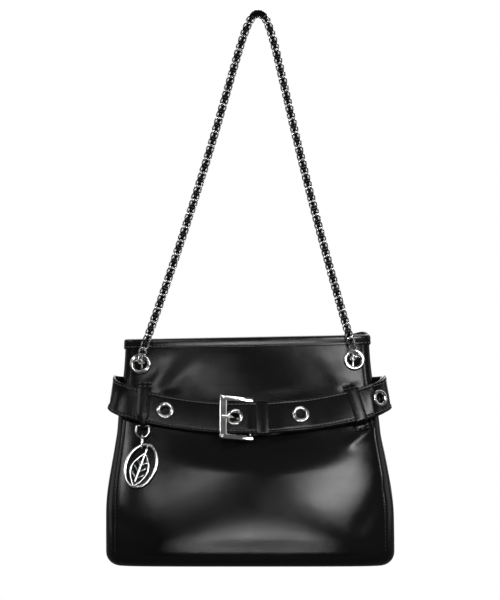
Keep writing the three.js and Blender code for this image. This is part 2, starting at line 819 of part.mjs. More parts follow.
// A carrier whose two ends are sewn to the body above and below the belt.
function beltCarrier(angle, outerFace) {
  const frame = beltFrame(angle);
  const over = outerFace + carrierSeat + seatGap;
  const top = carrierTop(frame, angle, over, beltEdge);
  const bottom = top.map(([up, out, half], i) => {
    const sewn = i < 2 ? wallRelief(frame, angle, -up) + carrierSeat + seatGap : out;
    return [-up, sewn, half];
  });
  return strip(frame, [...top, ...bottom.reverse()], carrierThickness);
}

// The left carrier hangs straight down over the sloping belt. It narrows below the belt, wraps the
// D-ring's bar and is sewn behind the belt.
function uprightFrame(angle) {
  const frame = beltFrame(angle);
  const out = new Vector3().setFromMatrixColumn(frame, 2);
  const level = new Vector3(-out.y, out.x, 0).normalize();
  return new Matrix4().makeBasis(level, out.clone().cross(level), out).copyPosition(frame);
}

const carrierAngle = frontAngle(-ringCarrierPlace, beltFrontHeight + beltSideRise / 2);
const carrierFrame = uprightFrame(carrierAngle);
const beltSlope = new Vector3().setFromMatrixColumn(beltFrame(carrierAngle), 0)
  .angleTo(new Vector3().setFromMatrixColumn(carrierFrame, 0));
const slopeRoom = carrierWidth / 2 * Math.tan(beltSlope) + seatGap;
const ringBend = ringWire / 2 + seatGap + carrierThickness / 2;
const ringBarUp = -beltWidth / 2 - slopeRoom - ringBend;
const ringBarOut = 6 * seatGap + carrierThickness + ringBend - carrierThickness / 2
  + wallRelief(carrierFrame, carrierAngle, ringBarUp - ringBend);

function ringCarrier() {
  const over = beltMiddle(carrierAngle, 0) + beltThickness / 2 + carrierSeat + slopeRoom;
  const neck = carrierNeck / 2;
  const wrap = steps(wrapStart, 180, 5).map((degrees) => [
    ringBarUp - ringBend * Math.sin(degToRad(degrees)),
    ringBarOut + ringBend * Math.cos(degToRad(degrees)),
    neck,
  ]);
  const behind = carrierTab / 2 - beltWidth / 2;
  return strip(carrierFrame, [
    ...carrierTop(carrierFrame, carrierAngle, over, beltEdge + slopeRoom),
    [carrierTab - beltWidth / 2, over, carrierWidth / 2],
    [-beltWidth / 2 - slopeRoom, over - seatGap, neck],
    ...wrap,
    [behind, wallRelief(carrierFrame, carrierAngle, behind) + carrierSeat + seatGap, neck],
  ], carrierThickness);
}

// The keeper goes round the belt's start and its tongue, beside the buckle.
function beltKeeper() {
  const angle = frontAngle(buckleBarPlace + keeperPlace, beltFrontHeight);
  const frame = beltFrame(angle);
  const low = beltMiddle(angle, startLift(angle)) - beltThickness / 2 - seatGap;
  const high = tongueMiddle(angle) + beltThickness / 2 + seatGap;
  const edge = beltWidth / 2 + seatGap;
  const ring = (grow) => [
    [-edge - grow, low - grow],
    [edge + grow, low - grow],
    [edge + grow, high + grow],
    [-edge - grow, high + grow],
  ];
  const half = keeperWidth / 2;
  const inner = ring(0);
  const sections = ring(keeperThickness).map(([y, z], i) => [
    at(frame, -half, y, z),
    at(frame, half, y, z),
    at(frame, half, ...inner[i]),
    at(frame, -half, ...inner[i]),
  ]);
  return loft(sections, true);
}

// Buckle, in the axes of its bar: X to the right along the belt, Y up, Z outwards

const frontBarMiddle = -buckleReach + frontBarWidth / 2;
const frontBarInner = -buckleReach + frontBarWidth;
const frontBarAngle = frontAngle(buckleBarPlace + frontBarInner, beltFrontHeight);
const eyeletTop = tongueMiddle(frontBarAngle) + beltThickness / 2 + seatGap + beltEyeletDome;
const frameTilt = Math.atan2(eyeletTop + 2 * seatGap + frameThickness / 2 - barOut, -frontBarInner);

function tiltedFrame() {
  return barFrame.clone().multiply(new Matrix4().makeRotationY(frameTilt));
}

function buckleFrame() {
  const inner = beltWidth / 2 + frameInset;
  const outer = inner + armWidth;
  const shape = new THREE.Shape([
    [-buckleReach, -outer],
    [frameHeel, -outer],
    [frameHeel, -inner],
    [-buckleReach + frontBarWidth, -inner],
    [-buckleReach + frontBarWidth, inner],
    [frameHeel, inner],
    [frameHeel, outer],
    [-buckleReach, outer],
  ].map(([x, y]) => new Vector2(x, y)));
  const bevel = frameThickness / 6;
  const plate = new THREE.ExtrudeGeometry(shape, {
    depth: frameThickness - 2 * bevel,
    bevelThickness: bevel,
    bevelSize: bevel,
    bevelOffset: -bevel,
    bevelSegments: 1,
  }).translate(0, 0, bevel - frameThickness / 2);
  const bore = new THREE.CylinderGeometry(
    barWidth / 2 + seatGap / 2,
    barWidth / 2 + seatGap / 2,
    4 * outer,
    smallSides,
  );
  return place(cut(plate, [bore]), tiltedFrame());
}

function buckleBar() {
  const length = beltWidth + 2 * frameInset + 2 * armWidth;
  const pin = new THREE.CylinderGeometry(barWidth / 2, barWidth / 2, length, smallSides);
  return place(pin, barFrame);
}

// The prong turns on the bar, comes out through the eyelet and rests on the front bar.
function buckleProng() {
  const eyeInner = barWidth / 2 + seatGap / 2;
  const eyeOuter = eyeInner + prongEyeWall;
  const eyeHalf = prongSlotWidth / 2;
  const eye = revolve([
    [eyeInner, -eyeHalf],
    [eyeOuter, -eyeHalf],
    [eyeOuter, eyeHalf],
    [eyeInner, eyeHalf],
    [eyeInner, -eyeHalf],
  ], smallSides).rotateX(Math.PI / 2);
  const rest = frameThickness / 2 + 2 * seatGap + prongWidth / 2;
  const onFrame = (x) => at(new Matrix4().makeRotationY(frameTilt), x, 0, rest);
  const holeOut = tongueMiddle(prongEyeletAngle) - barOut;
  const path = new THREE.CatmullRomCurve3([
    new Vector3(-eyeInner - prongEyeWall / 2, 0, 0),
    new Vector3(prongEyeletPlace / 2, 0, 0),
    new Vector3(prongEyeletPlace + prongWidth / 2, 0, holeOut - prongWidth),
    new Vector3(prongEyeletPlace - prongWidth / 2, 0, holeOut + prongWidth / 2),
    onFrame(frontBarInner + prongWidth / 2),
    onFrame(frontBarMiddle),
    onFrame(-buckleReach),
  ], false, 'centripetal');
  const rod = bar(path.getPoints(10), new Vector3(0, 1, 0), prongWidth / 2, wireSides);
  return place(join([eye, rod]), barFrame);
}

// D-ring, link and charm, in the axes of the D-ring's bar

// They hang in one plane, turned out of the carrier's own as far as the wall below asks for.
const hangLength = dRingHeight + charmLinkLength + charmLength;
const hangTurn = Math.max(0, ...steps(0, hangLength, 6).slice(1).map((drop) => {
  const relief = wallRelief(carrierFrame, carrierAngle, ringBarUp - drop);
  return Math.atan2(relief + charmRoom + charmThickness / 2 - ringBarOut, drop);
}));
const dRingFrame = carrierFrame.clone()
  .multiply(new Matrix4().makeTranslation(0, ringBarUp, ringBarOut))
  .multiply(new Matrix4().makeRotationX(-hangTurn));

function dRing() {
  const half = (dRingWidth - ringWire) / 2;
  const drop = dRingHeight - ringWire;
  const bow = steps(0, 180, 8).map((degrees) => new Vector3(
    half * Math.cos(degToRad(degrees)),
    -(drop - half) - half * Math.sin(degToRad(degrees)),
    0,
  ));
  const points = [new Vector3(half, 0, 0), ...bow, new Vector3(-half, 0, 0)];
  return place(bar(points, new Vector3(0, 0, 1), ringWire / 2, wireSides, true), dRingFrame);
}

// The charm hangs by an oval link across the D-ring's wire and the charm's rim.
const dRingFoot = -(dRingHeight - ringWire);
const charmLinkTop = dRingFoot + ringWire / 2 + seatGap + charmLinkWire / 2;
const charmLinkFoot = charmLinkTop - charmLinkLength + charmLinkWire;
const charmHold = charmLinkFoot + 1.5 * charmLinkWire + charmRim / 2;

function charmLink() {
  const halfLength = (charmLinkTop - charmLinkFoot) / 2;
  const link = twistedLink(halfLength, (charmLinkWidth - charmLinkWire) / 2, charmLinkWire, 90, 90);
  link.rotateX(Math.PI / 2).translate(0, charmLinkFoot + halfLength, 0);
  return place(link, dRingFrame);
}

// An oval rim round an open leaf with a midrib and side veins.
function charm() {
  const lean = degToRad(charmLean);
  const oval = (width, length, count) => steps(0, 2 * Math.PI, count).slice(0, count)
    .map((angle) => new Vector2(width / 2 * Math.cos(angle), length / 2 * Math.sin(angle)));
  const outline = new THREE.Shape(oval(charmWidth, charmLength, ovalSides));
  const innerLength = charmLength - 2 * charmRim;
  const innerWidth = charmWidth - 2 * charmRim;
  outline.holes.push(new THREE.Path(oval(innerWidth, innerLength, ovalSides)));
  const thick = { depth: charmThickness, bevelEnabled: false };
  const rim = new THREE.ExtrudeGeometry(outline, thick);
  const leafLow = -(charmLength - charmRim) / 2;
  const leafHigh = innerLength / 2 - leafDrop;
  const leafMiddle = (leafLow + leafHigh) / 2;
  const leafOutline = (inset) => {
    const half = (leafHigh - leafLow) / 2 - 2 * inset;
    const side = steps(0, 1, 8).map((share) => new Vector2(
      (leafWidth / 2 - inset) * Math.sin(Math.PI * share),
      leafMiddle + lerp(-half, half, share),
    ));
    const mirrored = side.slice(1, -1).reverse().map(({ x, y }) => new Vector2(-x, y));
    return [...side, ...mirrored];
  };
  const leafShape = new THREE.Shape(leafOutline(0));
  leafShape.holes.push(new THREE.Path(leafOutline(veinWidth)));
  const leaf = new THREE.ExtrudeGeometry(leafShape, thick);
  const inlay = charmThickness * inlayDepth;
  const midrib = new THREE.BoxGeometry(veinWidth, charmLength - charmRim, inlay);
  const veins = veinShares.flatMap((share) => [-1, 1].map((side) => {
    const reach = leafWidth * veinReach;
    const vein = new THREE.BoxGeometry(reach, veinWidth * inlayDepth, inlay * inlayDepth);
    return vein.translate(reach / 2, 0, 0)
      .rotateZ(degToRad(side > 0 ? veinTurn : 180 - veinTurn))
      .translate(0, leafMiddle + share * leafHigh, charmThickness / 2);
  }));
  const body = join([rim, leaf, midrib.translate(0, 0, charmThickness / 2), ...veins]);
  // Held at the place of the rim that lies straight above the charm's middle.
  const ovalShare = (charmLength - charmRim) / (charmWidth - charmRim);
  const holdAngle = Math.PI / 2 + Math.atan(ovalShare * Math.tan(lean));
  const centreRim = new Vector2(
    (charmWidth - charmRim) / 2 * Math.cos(holdAngle),
    (charmLength - charmRim) / 2 * Math.sin(holdAngle),
  ).rotateAround(new Vector2(), -lean);
  body.translate(0, 0, -charmThickness / 2).rotateZ(-lean);
  body.translate(-centreRim.x, charmHold - centreRim.y, 0);
  return place(body, dRingFrame);
}

// Snap closure on the facings, inside the mouth
function snapHalf(angle, studOut) {
  const height = bodyHeight - snapDepth;
  const frame = wallFrame(angle, () => height);
  const back = -stackDepth - 2 * seatGap;
  const base = [[0, back], [snapWidth / 2, back], [snapWidth / 2, back - snapThickness]];
  const stud = studOut
    ? [[studWidth / 2, back - snapThickness], [studWidth / 2, back - snapThickness - studHeight]]
    : [[studWidth / 2 + seatGap, back - snapThickness], [studWidth / 2 + seatGap, back - studHeight / 2]];
  const middle = studOut ? back - snapThickness - studHeight : back - studHeight / 2;
  return place(revolve([...base, ...stud, [0, middle]], smallSides), frame);
}

// The whole bag

const handbag = new THREE.Group();
const bag = new THREE.Group();
bag.position.copy(bagPlace);
handbag.add(bag);

function addPiece(group, name, geometry, material) {
  const mesh = new THREE.Mesh(weld(geometry), material);
  mesh.name = name;
  group.add(mesh);
}

const quarter = Math.PI / 2;
const sides = [['left', -1], ['right', 1]];
const strapHoles = sides.map(([, side]) =>
  place(eyeletHole(strapEyeletBore, 3 * stackDepth, eyeletSides), strapEyeletFrame(side)));

const half = girthColumns / 2;
const seam = gussetColumns;
const panel = (from, to) => wallPanel(from, to, panelWays, 0, -leather);
addPiece(bag, 'front_panel', cut(panel(seam - half, -seam), strapHoles), glossLeather);
addPiece(bag, 'back_panel', panel(seam, half - seam), glossLeather);
addPiece(bag, 'side_gusset_right', panel(-seam, seam), glossLeather);
addPiece(bag, 'side_gusset_left', panel(half - seam, half + seam), glossLeather);
addPiece(bag, 'base_panel', basePlate(seatGap, 0, leather), glossLeather);
const boardLow = leather + seatGap;
addPiece(bag, 'base_board', basePlate(boardMargin, boardLow, boardThickness), fibreBoard);

const facingOuter = -leather - seatGap;
const facing = (from, to) => wallPanel(from, to, facingWays, facingOuter, -stackDepth);
addPiece(bag, 'facing_front', cut(facing(-half, 0), strapHoles), innerLeather);
addPiece(bag, 'facing_back', facing(0, half), innerLeather);
addPiece(bag, 'lining', liningSack(facingOuter, boardLow + boardThickness + seatGap), liningCloth);
addPiece(bag, 'mouth_binding', mouthBinding(), glossLeather);
addPiece(bag, 'snap_front', snapHalf(-quarter, true), nickel);
addPiece(bag, 'snap_back', snapHalf(quarter, false), nickel);

for (const [word, side] of sides) {
  const frame = strapEyeletFrame(side);
  addPiece(bag, `strap_eyelet_${word}`, place(strapEyelet(), frame), nickel);
  addPiece(bag, `strap_eyelet_washer_${word}`, place(eyeletWasher(), frame), nickel);
  addPiece(bag, `through_link_${word}`, place(throughLink(), frame), nickel);
  addPiece(bag, `anchor_bar_${word}`, place(anchorBar(), frame), nickel);
}

const runs = sides.map(([, side]) => strapRun(side));
sides.forEach(([word], i) => addPiece(handbag, `strap_chain_${word}`, chainRun(runs[i]), nickel));
addPiece(handbag, 'strap_lace', strapLace(...runs), glossLeather);

addPiece(bag, 'belt_strap', beltStrap(), glossLeather);
eyeletFlats.forEach((flat, i) => addPiece(bag, `belt_eyelet_${i + 1}`, beltEyelet(flat), nickel));
addPiece(bag, 'belt_keeper', beltKeeper(), glossLeather);
addPiece(bag, 'belt_carrier_left', ringCarrier(), glossLeather);
const rightCarrierAngle = frontAngle(frontCarrierPlace, beltFrontHeight + beltSideRise / 2);
addPiece(bag, 'belt_carrier_right',
  beltCarrier(rightCarrierAngle, tongueMiddle(rightCarrierAngle) + beltThickness / 2), glossLeather);
for (const [word, side] of sides) {
  const angle = -frontAngle(side * backCarrierPlace, beltFrontHeight + beltBackRise);
  const outerFace = beltMiddle(angle, 0) + beltThickness / 2;
  addPiece(bag, `belt_carrier_back_${word}`, beltCarrier(angle, outerFace), glossLeather);
}

addPiece(bag, 'buckle_frame', buckleFrame(), nickel);
addPiece(bag, 'buckle_bar', buckleBar(), nickel);
addPiece(bag, 'buckle_prong', buckleProng(), nickel);
addPiece(bag, 'charm_d_ring', dRing(), nickel);
addPiece(bag, 'charm_link', charmLink(), nickel);
addPiece(bag, 'charm', charm(), nickel);

export default handbag;
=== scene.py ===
"""Dresses the belted shoulder bag: soft leather body, buckled belt, laced chain strap and charm."""

import json
import math

import bmesh
import bpy
import numpy as np
from bpy.props import FloatProperty, FloatVectorProperty, PointerProperty
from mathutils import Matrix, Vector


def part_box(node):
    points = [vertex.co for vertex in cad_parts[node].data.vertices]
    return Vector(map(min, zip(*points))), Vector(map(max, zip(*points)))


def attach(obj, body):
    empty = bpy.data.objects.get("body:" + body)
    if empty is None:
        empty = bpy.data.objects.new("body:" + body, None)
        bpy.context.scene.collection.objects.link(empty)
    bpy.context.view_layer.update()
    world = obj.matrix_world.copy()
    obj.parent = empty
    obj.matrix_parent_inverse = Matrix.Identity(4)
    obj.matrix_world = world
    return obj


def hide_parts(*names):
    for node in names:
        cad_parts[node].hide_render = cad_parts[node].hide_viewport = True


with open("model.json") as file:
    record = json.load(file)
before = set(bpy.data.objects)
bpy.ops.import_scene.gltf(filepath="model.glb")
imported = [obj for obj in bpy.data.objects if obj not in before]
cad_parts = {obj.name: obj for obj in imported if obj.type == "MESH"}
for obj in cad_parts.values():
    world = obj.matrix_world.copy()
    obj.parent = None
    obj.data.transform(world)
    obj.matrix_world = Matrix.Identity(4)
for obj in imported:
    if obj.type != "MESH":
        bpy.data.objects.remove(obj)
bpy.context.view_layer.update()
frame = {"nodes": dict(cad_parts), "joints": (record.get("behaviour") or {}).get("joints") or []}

bl_info = {
    "name": "Belted shoulder bag",
    "version": (1, 0, 0),
    "blender": (4, 5, 0),
    "location": "View3D > Sidebar > Bag",
    "description": "Builds the leather, metal and stitching of a belted shoulder bag",
    "category": "Object",
}

# Sizes of the pieces, in millimetres

# Body
BODY_HEIGHT = 225.0
BASE_WIDTH = 287.0
MOUTH_WIDTH = 245.0
BASE_DEPTH = 84.0
MOUTH_DEPTH = 26.0
FULL_WIDTH_HEIGHT = 45.0  # the body narrows above it
ROUNDING = 14.0  # radius of the edge round the base
MOUTH_LEAN = 32.0  # how far the mouth's middle lies behind the base's
MOUTH_SHIFT = -3.0
MOUTH_SLOPE = 4.0 / 214.0
LEATHER = 2.0
FACING_GAP = 0.3
FACING = 1.2
FACING_DEPTH = 48.0
LINING = 0.8
LINING_FLOOR = 4.6
BINDING = 1.0
BINDING_DEPTH = 8.0
BINDING_STITCH = 2.2  # height of the stitches above the binding's lower edge
SEAT_GAP = 0.3

# Belt, keeper and carriers
BELT_FRONT_HEIGHT = 143.5
BELT_SIDE_RISE = 27.0
BELT_BACK_RISE = 26.0
BELT_TILT = -2.5
BELT_GAP = 1.3
BELT_SLACK = 7.0
BELT_WIDTH = 33.0
BELT_THICK = 2.0
BELT_ROUND = 1.3
BELT_CREASE = 2.8  # from the belt's edge to its creased line
CREASE_DEPTH = 0.28
FOLD_LENGTH = 28.0
FOLD_FADE = 28.0
FOLD_LIFT = 5.0
LAYER_LIFT = 3.6
TONGUE_FADE = 76.0
TONGUE_TAIL = 42.0
TONGUE_TIP = 16.0
BAR_PLACE = 2.0
KEEPER_PLACE = 12.0
KEEPER_WIDTH = 12.0
KEEPER_THICK = 1.0
CARRIER_WIDTH = 12.0
CARRIER_THICK = 1.2
CARRIER_TAB = 7.0
CARRIER_NECK = 5.0
CARRIER_SEAT = 1.2
CARRIER_FLARE = 0.4
CARRIER_BEND = 0.9
CARRIER_CORNER = 1.6
RING_CARRIER = 103.5
BACK_CARRIER = 75.0

# Strap
WIRE = 1.8
LINK_PITCH = 7.1
LINK_WIDTH = 8.8
LINK_FUSE = 0.3  # how far neighbouring links run into each other
RUN_SHIFT = 0.45
LACE_REACH = 4.8
LACE_NARROW = 3.6
LACE_THICK = 1.2
BARE_LINKS = 2
THROUGH_LINK_WIDTH = 10.4
ANCHOR_HALF = 8.5
ANCHOR_RADIUS = 1.5
RUNS = {"left": (-1, (-119.6, -344.5)), "right": (1, (97.6, -340.7))}
RUN_LEAN = {"left": 20.0, "right": 16.5}
APEX_HANDLE = 18.5
RUN_HANDLE = 285.0

# Eyelets and snap
STRAP_EYELET_HEIGHT = 202.0
STRAP_EYELET_SIDE = 107.0
STRAP_EYELET = {"outer": 10.75, "inner": 6.3, "dome": 2.0, "back": 7.7}
STRAP_EYELET_HOLE = 7.4
BELT_EYELETS = range(1, 5)
BELT_EYELET = {"outer": 8.5, "inner": 4.8, "dome": 1.3, "back": 7.5}
BELT_EYELET_HOLE = 5.8
WASHER_INNER = 7.3
WASHER_OUTER = 10.0
SNAP_RADIUS = 8.0
STUD_RADIUS = 2.5
SOCKET_RADIUS = 2.8

# Buckle
BUCKLE_REACH = 31.5
BUCKLE_FRONT = 7.3
BUCKLE_ARM = 5.0
BUCKLE_HEEL = 2.6
BUCKLE_THICK = 3.4
BUCKLE_ROOM = 1.0
PIN_RADIUS = 1.2
PIN_BORE = 1.35
PRONG_HALF = 1.1

# D-ring and charm
RING_WIDTH = 15.0
RING_HEIGHT = 14.0
RING_WIRE = 2.2
CHARM_LINK_LENGTH = 14.2
CHARM_LINK_WIRE = 1.6
CHARM_LENGTH = 48.0
CHARM_WIDTH = 33.0
CHARM_RIM = 3.0
CHARM_THICK = 2.4
CHARM_HOLD = 2.4
CHARM_LEAN = math.radians(17)
LEAF_HALF = 8.7
VEIN_LENGTH = 8.0

# Sizes that follow from these
ROUNDING_WAY = ROUNDING * math.pi / 2
TOP_WAY = BODY_HEIGHT - ROUNDING + ROUNDING_WAY
SEAM_TURNS = [side + seam * math.radians(36) for side in (0, math.pi) for seam in (-1, 1)]
RING_DROP = RING_HEIGHT - RING_WIRE
CHARM_LINK_TOP = RING_WIRE / 2 + SEAT_GAP + CHARM_LINK_WIRE / 2 - RING_DROP
CHARM_LINK_FOOT = CHARM_LINK_TOP - CHARM_LINK_LENGTH

# The stage, in metres

LIGHT_TARGET = (-0.008, -0.02, -0.44)
VIEW_MIDDLE = (-0.0083, -0.282)  # the place x, z that the camera faces
VIEW_HEIGHT = 0.6
SENSOR_HEIGHT = 36  # in millimetres


def bag_place():
    low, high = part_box("base_panel")
    return np.array([(low.x + high.x) / 2, (low.y + high.y) / 2, low.z]) * 1000


BAG = bag_place()
JOINTS = {joint["name"]: joint for joint in frame["joints"]}


# The form of the body, as points in millimetres in the frame

def ease(value, low, high):
    share = np.clip((np.asarray(value, float) - low) / (high - low), 0, 1)
    return share * share * (3 - 2 * share)


def wall_way(height):
    return height - ROUNDING + ROUNDING_WAY


def body_point(angle, way, out):
    """Angle round the girth (front -90 degrees, right side 0), way up the wall, distance outside."""
    angle, way, out = np.broadcast_arrays(*(np.asarray(v, float) for v in (angle, way, out)))
    radius = ROUNDING + out
    bend = np.minimum(way / ROUNDING, math.pi / 2)
    height = np.where(way < ROUNDING_WAY, ROUNDING - radius * np.cos(bend), ROUNDING + way - ROUNDING_WAY)
    grow = radius * np.sin(bend) - ROUNDING
    rise = ease(height, 0, BODY_HEIGHT)
    taper = ease(height, FULL_WIDTH_HEIGHT, BODY_HEIGHT)
    cos, sin = np.cos(angle), np.sin(angle)
    swell = (cos ** 4 + sin ** 4) ** -0.25
    x = ((BASE_WIDTH + (MOUTH_WIDTH - BASE_WIDTH) * taper) / 2 + grow) * swell * cos
    y = ((BASE_DEPTH + (MOUTH_DEPTH - BASE_DEPTH) * rise) / 2 + grow) * swell * sin
    z = height + MOUTH_SLOPE * rise * x
    return np.stack([MOUTH_SHIFT * rise + x, MOUTH_LEAN * rise + y, z], -1) + BAG


# Folds of the soft leather: two ends (x, z), half width and height outwards, all in millimetres
FRONT_FOLDS = (
    ((-82, -333), (-106, -370), 7, 0.8),
    ((-66, -338), (-90, -374), 8, -0.8),
    ((58, -335), (82, -368), 6, 0.5),
    ((72, -332), (96, -362), 6, -0.5),
    ((92, -424), (116, -410), 5, 0.8),
    ((104, -505), (128, -470), 9, -0.8),
    ((-138, -500), (-112, -520), 9, -0.8),
)
BACK_FOLDS = (
    ((-110, -340), (-50, -352), 9, 1.1),
    ((90, -338), (40, -356), 9, 1.0),
    ((-120, -430), (-60, -500), 18, 1.7),
    ((-50, -505), (50, -512), 20, 1.6),
    ((60, -498), (112, -440), 18, 1.5),
    ((-50, -450), (46, -458), 18, -1.5),
)
SWELL = 10.0  # how far the leather stands out under the belt
SWELL_FOOT = 14.0  # height above the base at which it starts
SWELL_CREST = 22.0  # how far below the belt's middle it is greatest
SWELL_SIDES = (98.0, 112.0)  # its reach from the middle to the left and to the right
SWELL_ABOVE = 2.0  # how far the leather stands out over the belt
SIDE_TUCK = 2.2  # how far the belt draws in the sides below it
CORNER_LIFT = 3.2  # how far the mouth rises at the back's right corner
MOUTH_SAG = 0.8  # how far the mouth sags in front


def fold_height(folds, x, z):
    total = np.zeros_like(x)
    for (x0, z0), (x1, z1), width, height in folds:
        length = math.hypot(x1 - x0, z1 - z0)
        ux, uz = (x1 - x0) / length, (z1 - z0) / length
        along = np.clip((x - x0) * ux + (z - z0) * uz, 0, length)
        gone = np.hypot(x - x0 - along * ux, z - z0 - along * uz)
        total += height * np.exp(-((gone / width) ** 2))
    return total


def belt_height(angle):
    cos, back = np.cos(angle), np.maximum(0, np.sin(angle))
    return BELT_FRONT_HEIGHT + BELT_SIDE_RISE * cos ** 2 + BELT_TILT * cos + BELT_BACK_RISE * back ** 2


def belt_swell(angle, x, height, over):
    """The belt pulls the leather in, so that it swells out below the belt and a little above it."""
    crest = belt_height(angle) - SWELL_CREST
    ramp = np.clip((height - SWELL_FOOT) / (crest - SWELL_FOOT), 0, 1.2) ** 1.15
    side = np.where(x < 0, *SWELL_SIDES)
    across = np.clip(1 - (x / side) ** 2, 0, 1) ** 1.5
    below = SWELL * ramp * across * ease(over, -16, -54)
    above = SWELL_ABOVE * ease(x, -70, -5) * ease(x, 70, 0) * ease(over, 16, 34)
    tucked = SIDE_TUCK * np.abs(np.cos(angle)) ** 6 * ease(height, 60, 120) * ease(over, -14, -40)
    return np.where(np.sin(angle) < 0, 1.0, 0.6) * (below + above) - tucked


def soft_push(angle, way):
    """How far the leather stands out of the plain form."""
    point = body_point(angle, way, 0)
    x, z = point[..., 0], point[..., 2]
    front = np.sin(angle) < 0
    height = way + ROUNDING - ROUNDING_WAY
    over = height - belt_height(angle)
    folds = np.where(front, fold_height(FRONT_FOLDS, x, z), fold_height(BACK_FOLDS, x, z))
    behind_charm = front & (over < 0)
    folds = np.where(behind_charm, np.maximum(folds, 0) * ease(x, -97, -70) + np.minimum(folds, 0), folds)
    push = folds * ease(np.abs(over), 15, 26) + belt_swell(angle, x, height, over)
    for side in (-1, 1):
        eyelet = body_point(front_angle(side * STRAP_EYELET_SIDE, STRAP_EYELET_HEIGHT),
                            wall_way(STRAP_EYELET_HEIGHT), 0)
        near = np.where(front, np.hypot(x - eyelet[0], z - eyelet[2]), 99)
        push = push * ease(near, 11, 22)
    return push * bpy.context.scene.bag_sewing.fold_depth * ease(height, 8, 30) * ease(TOP_WAY - way, 8, 40)


def soft_point(angle, way, out):
    angle, way, out = np.broadcast_arrays(*(np.asarray(v, float) for v in (angle, way, out)))
    point = body_point(angle, way, out + soft_push(angle, np.minimum(way, TOP_WAY)))
    corner = np.exp(-((angle - math.radians(33)) / 0.16) ** 2) * ease(way, TOP_WAY - 60, TOP_WAY)
    sag = np.exp(-((angle + math.pi / 2) / 0.9) ** 2) * ease(way, TOP_WAY - 50, TOP_WAY)
    point[..., 2] += CORNER_LIFT * corner - MOUTH_SAG * sag
    return point


def front_angle(x, height):
    low, high = -math.pi, 0.0
    middle_x = BAG[0] + MOUTH_SHIFT * float(ease(height, 0, BODY_HEIGHT))
    while high - low > 1e-6:
        middle = (low + high) / 2
        if body_point(middle, wall_way(height), 0)[0] - middle_x < x:
            low = middle
        else:
            high = middle
    return low


def unit(vector):
    return vector / np.linalg.norm(vector, axis=-1, keepdims=True)


def axes(x, y, z, place):
    matrix = np.eye(4)
    matrix[:3, 0], matrix[:3, 1], matrix[:3, 2], matrix[:3, 3] = x, y, z, place
    return matrix


def at(matrix, points):
    points = np.asarray(points, float)
    return points @ matrix[:3, :3].T + matrix[:3, 3]


def moved(matrix, x, y, z):
    result = matrix.copy()
    result[:3, 3] = at(matrix, (x, y, z))
    return result


def belt_frame(angle):
    """X along the belt, Y up the wall, Z out of the leather."""
    small = 1e-3

    def place(a, lift):
        return body_point(a, wall_way(belt_height(a)) + lift, 0)

    along = unit(place(angle + small, 0) - place(angle - small, 0))
    rise = place(angle, small) - place(angle, -small)
    out = unit(np.cross(along, rise))
    return axes(along, np.cross(out, along), out, place(angle, 0))


# The belt's layers

BAR_ANGLE = front_angle(BAR_PLACE, BELT_FRONT_HEIGHT)
# Ways from the bar and how far the belt's start lies off the wall there
START_STOPS = ((0, FOLD_LIFT), (5.7, LAYER_LIFT), (30, LAYER_LIFT), (FOLD_LENGTH + FOLD_FADE, 0))


def way_from_bar(angle):
    here = body_point(angle, wall_way(belt_height(angle)), 0)[..., 0]
    return here - body_point(BAR_ANGLE, wall_way(belt_height(BAR_ANGLE)), 0)[0]


def start_lift(angle):
    if math.sin(angle) >= 0:
        return 0.0
    return float(np.interp(way_from_bar(angle), *zip(*START_STOPS)))


def tongue_lift(angle):
    way = way_from_bar(angle) if math.sin(angle) < 0 else math.inf
    if way >= 0:
        return start_lift(angle) + LAYER_LIFT
    return (FOLD_LIFT + LAYER_LIFT) * max(0.0, 1 + way / TONGUE_FADE) ** 1.5


def belt_middle(angle, lift):
    return BELT_GAP + BELT_SLACK * math.cos(angle) ** 2 + BELT_THICK / 2 + lift


def tongue_middle(angle):
    return belt_middle(angle, tongue_lift(angle))


BAR_OUT = belt_middle(BAR_ANGLE, 0) + FOLD_LIFT / 2
BAR_FRAME = moved(belt_frame(BAR_ANGLE), 0, 0, BAR_OUT)


# Meshes

def remove_object(piece):
    mesh = piece.data
    bpy.data.objects.remove(piece)
    if isinstance(mesh, bpy.types.Mesh):
        bpy.data.meshes.remove(mesh)


def new_object(name, points, faces):
    """A mesh object from points in millimetres."""
    mesh = bpy.data.meshes.new(name)
    mesh.from_pydata((np.asarray(points, float) / 1000).tolist(), [], faces)
    mesh.validate()
    mesh.polygons.foreach_set("use_smooth", [True] * len(mesh.polygons))
    piece = bpy.data.objects.new(name, mesh)
    bpy.context.scene.collection.objects.link(piece)
    return piece


def solid(name, points, faces):
    """A closed mesh object whose faces all look outwards."""
    piece = new_object(name, points, faces)
    work = bmesh.new()
    work.from_mesh(piece.data)
    bmesh.ops.remove_doubles(work, verts=work.verts, dist=1e-7)
    bmesh.ops.recalc_face_normals(work, faces=work.faces)
    work.to_mesh(piece.data)
    work.free()
    return piece


def grid_faces(rows, columns, ring=False, row_ring=False):
    faces = []
    for row in range(rows if row_ring else rows - 1):
        here, there = row * columns, (row + 1) % rows * columns
        for column in range(columns if ring else columns - 1):
            after = (column + 1) % columns
            faces.append((here + column, here + after, there + after, there + column))
    return faces


def sweep_faces(rows, count, ring):
    faces = grid_faces(rows, count, ring=True, row_ring=ring)
    if not ring:
        last = (rows - 1) * count
        faces.append(tuple(reversed(range(count))))
        faces.append(tuple(range(last, last + count)))
    return faces


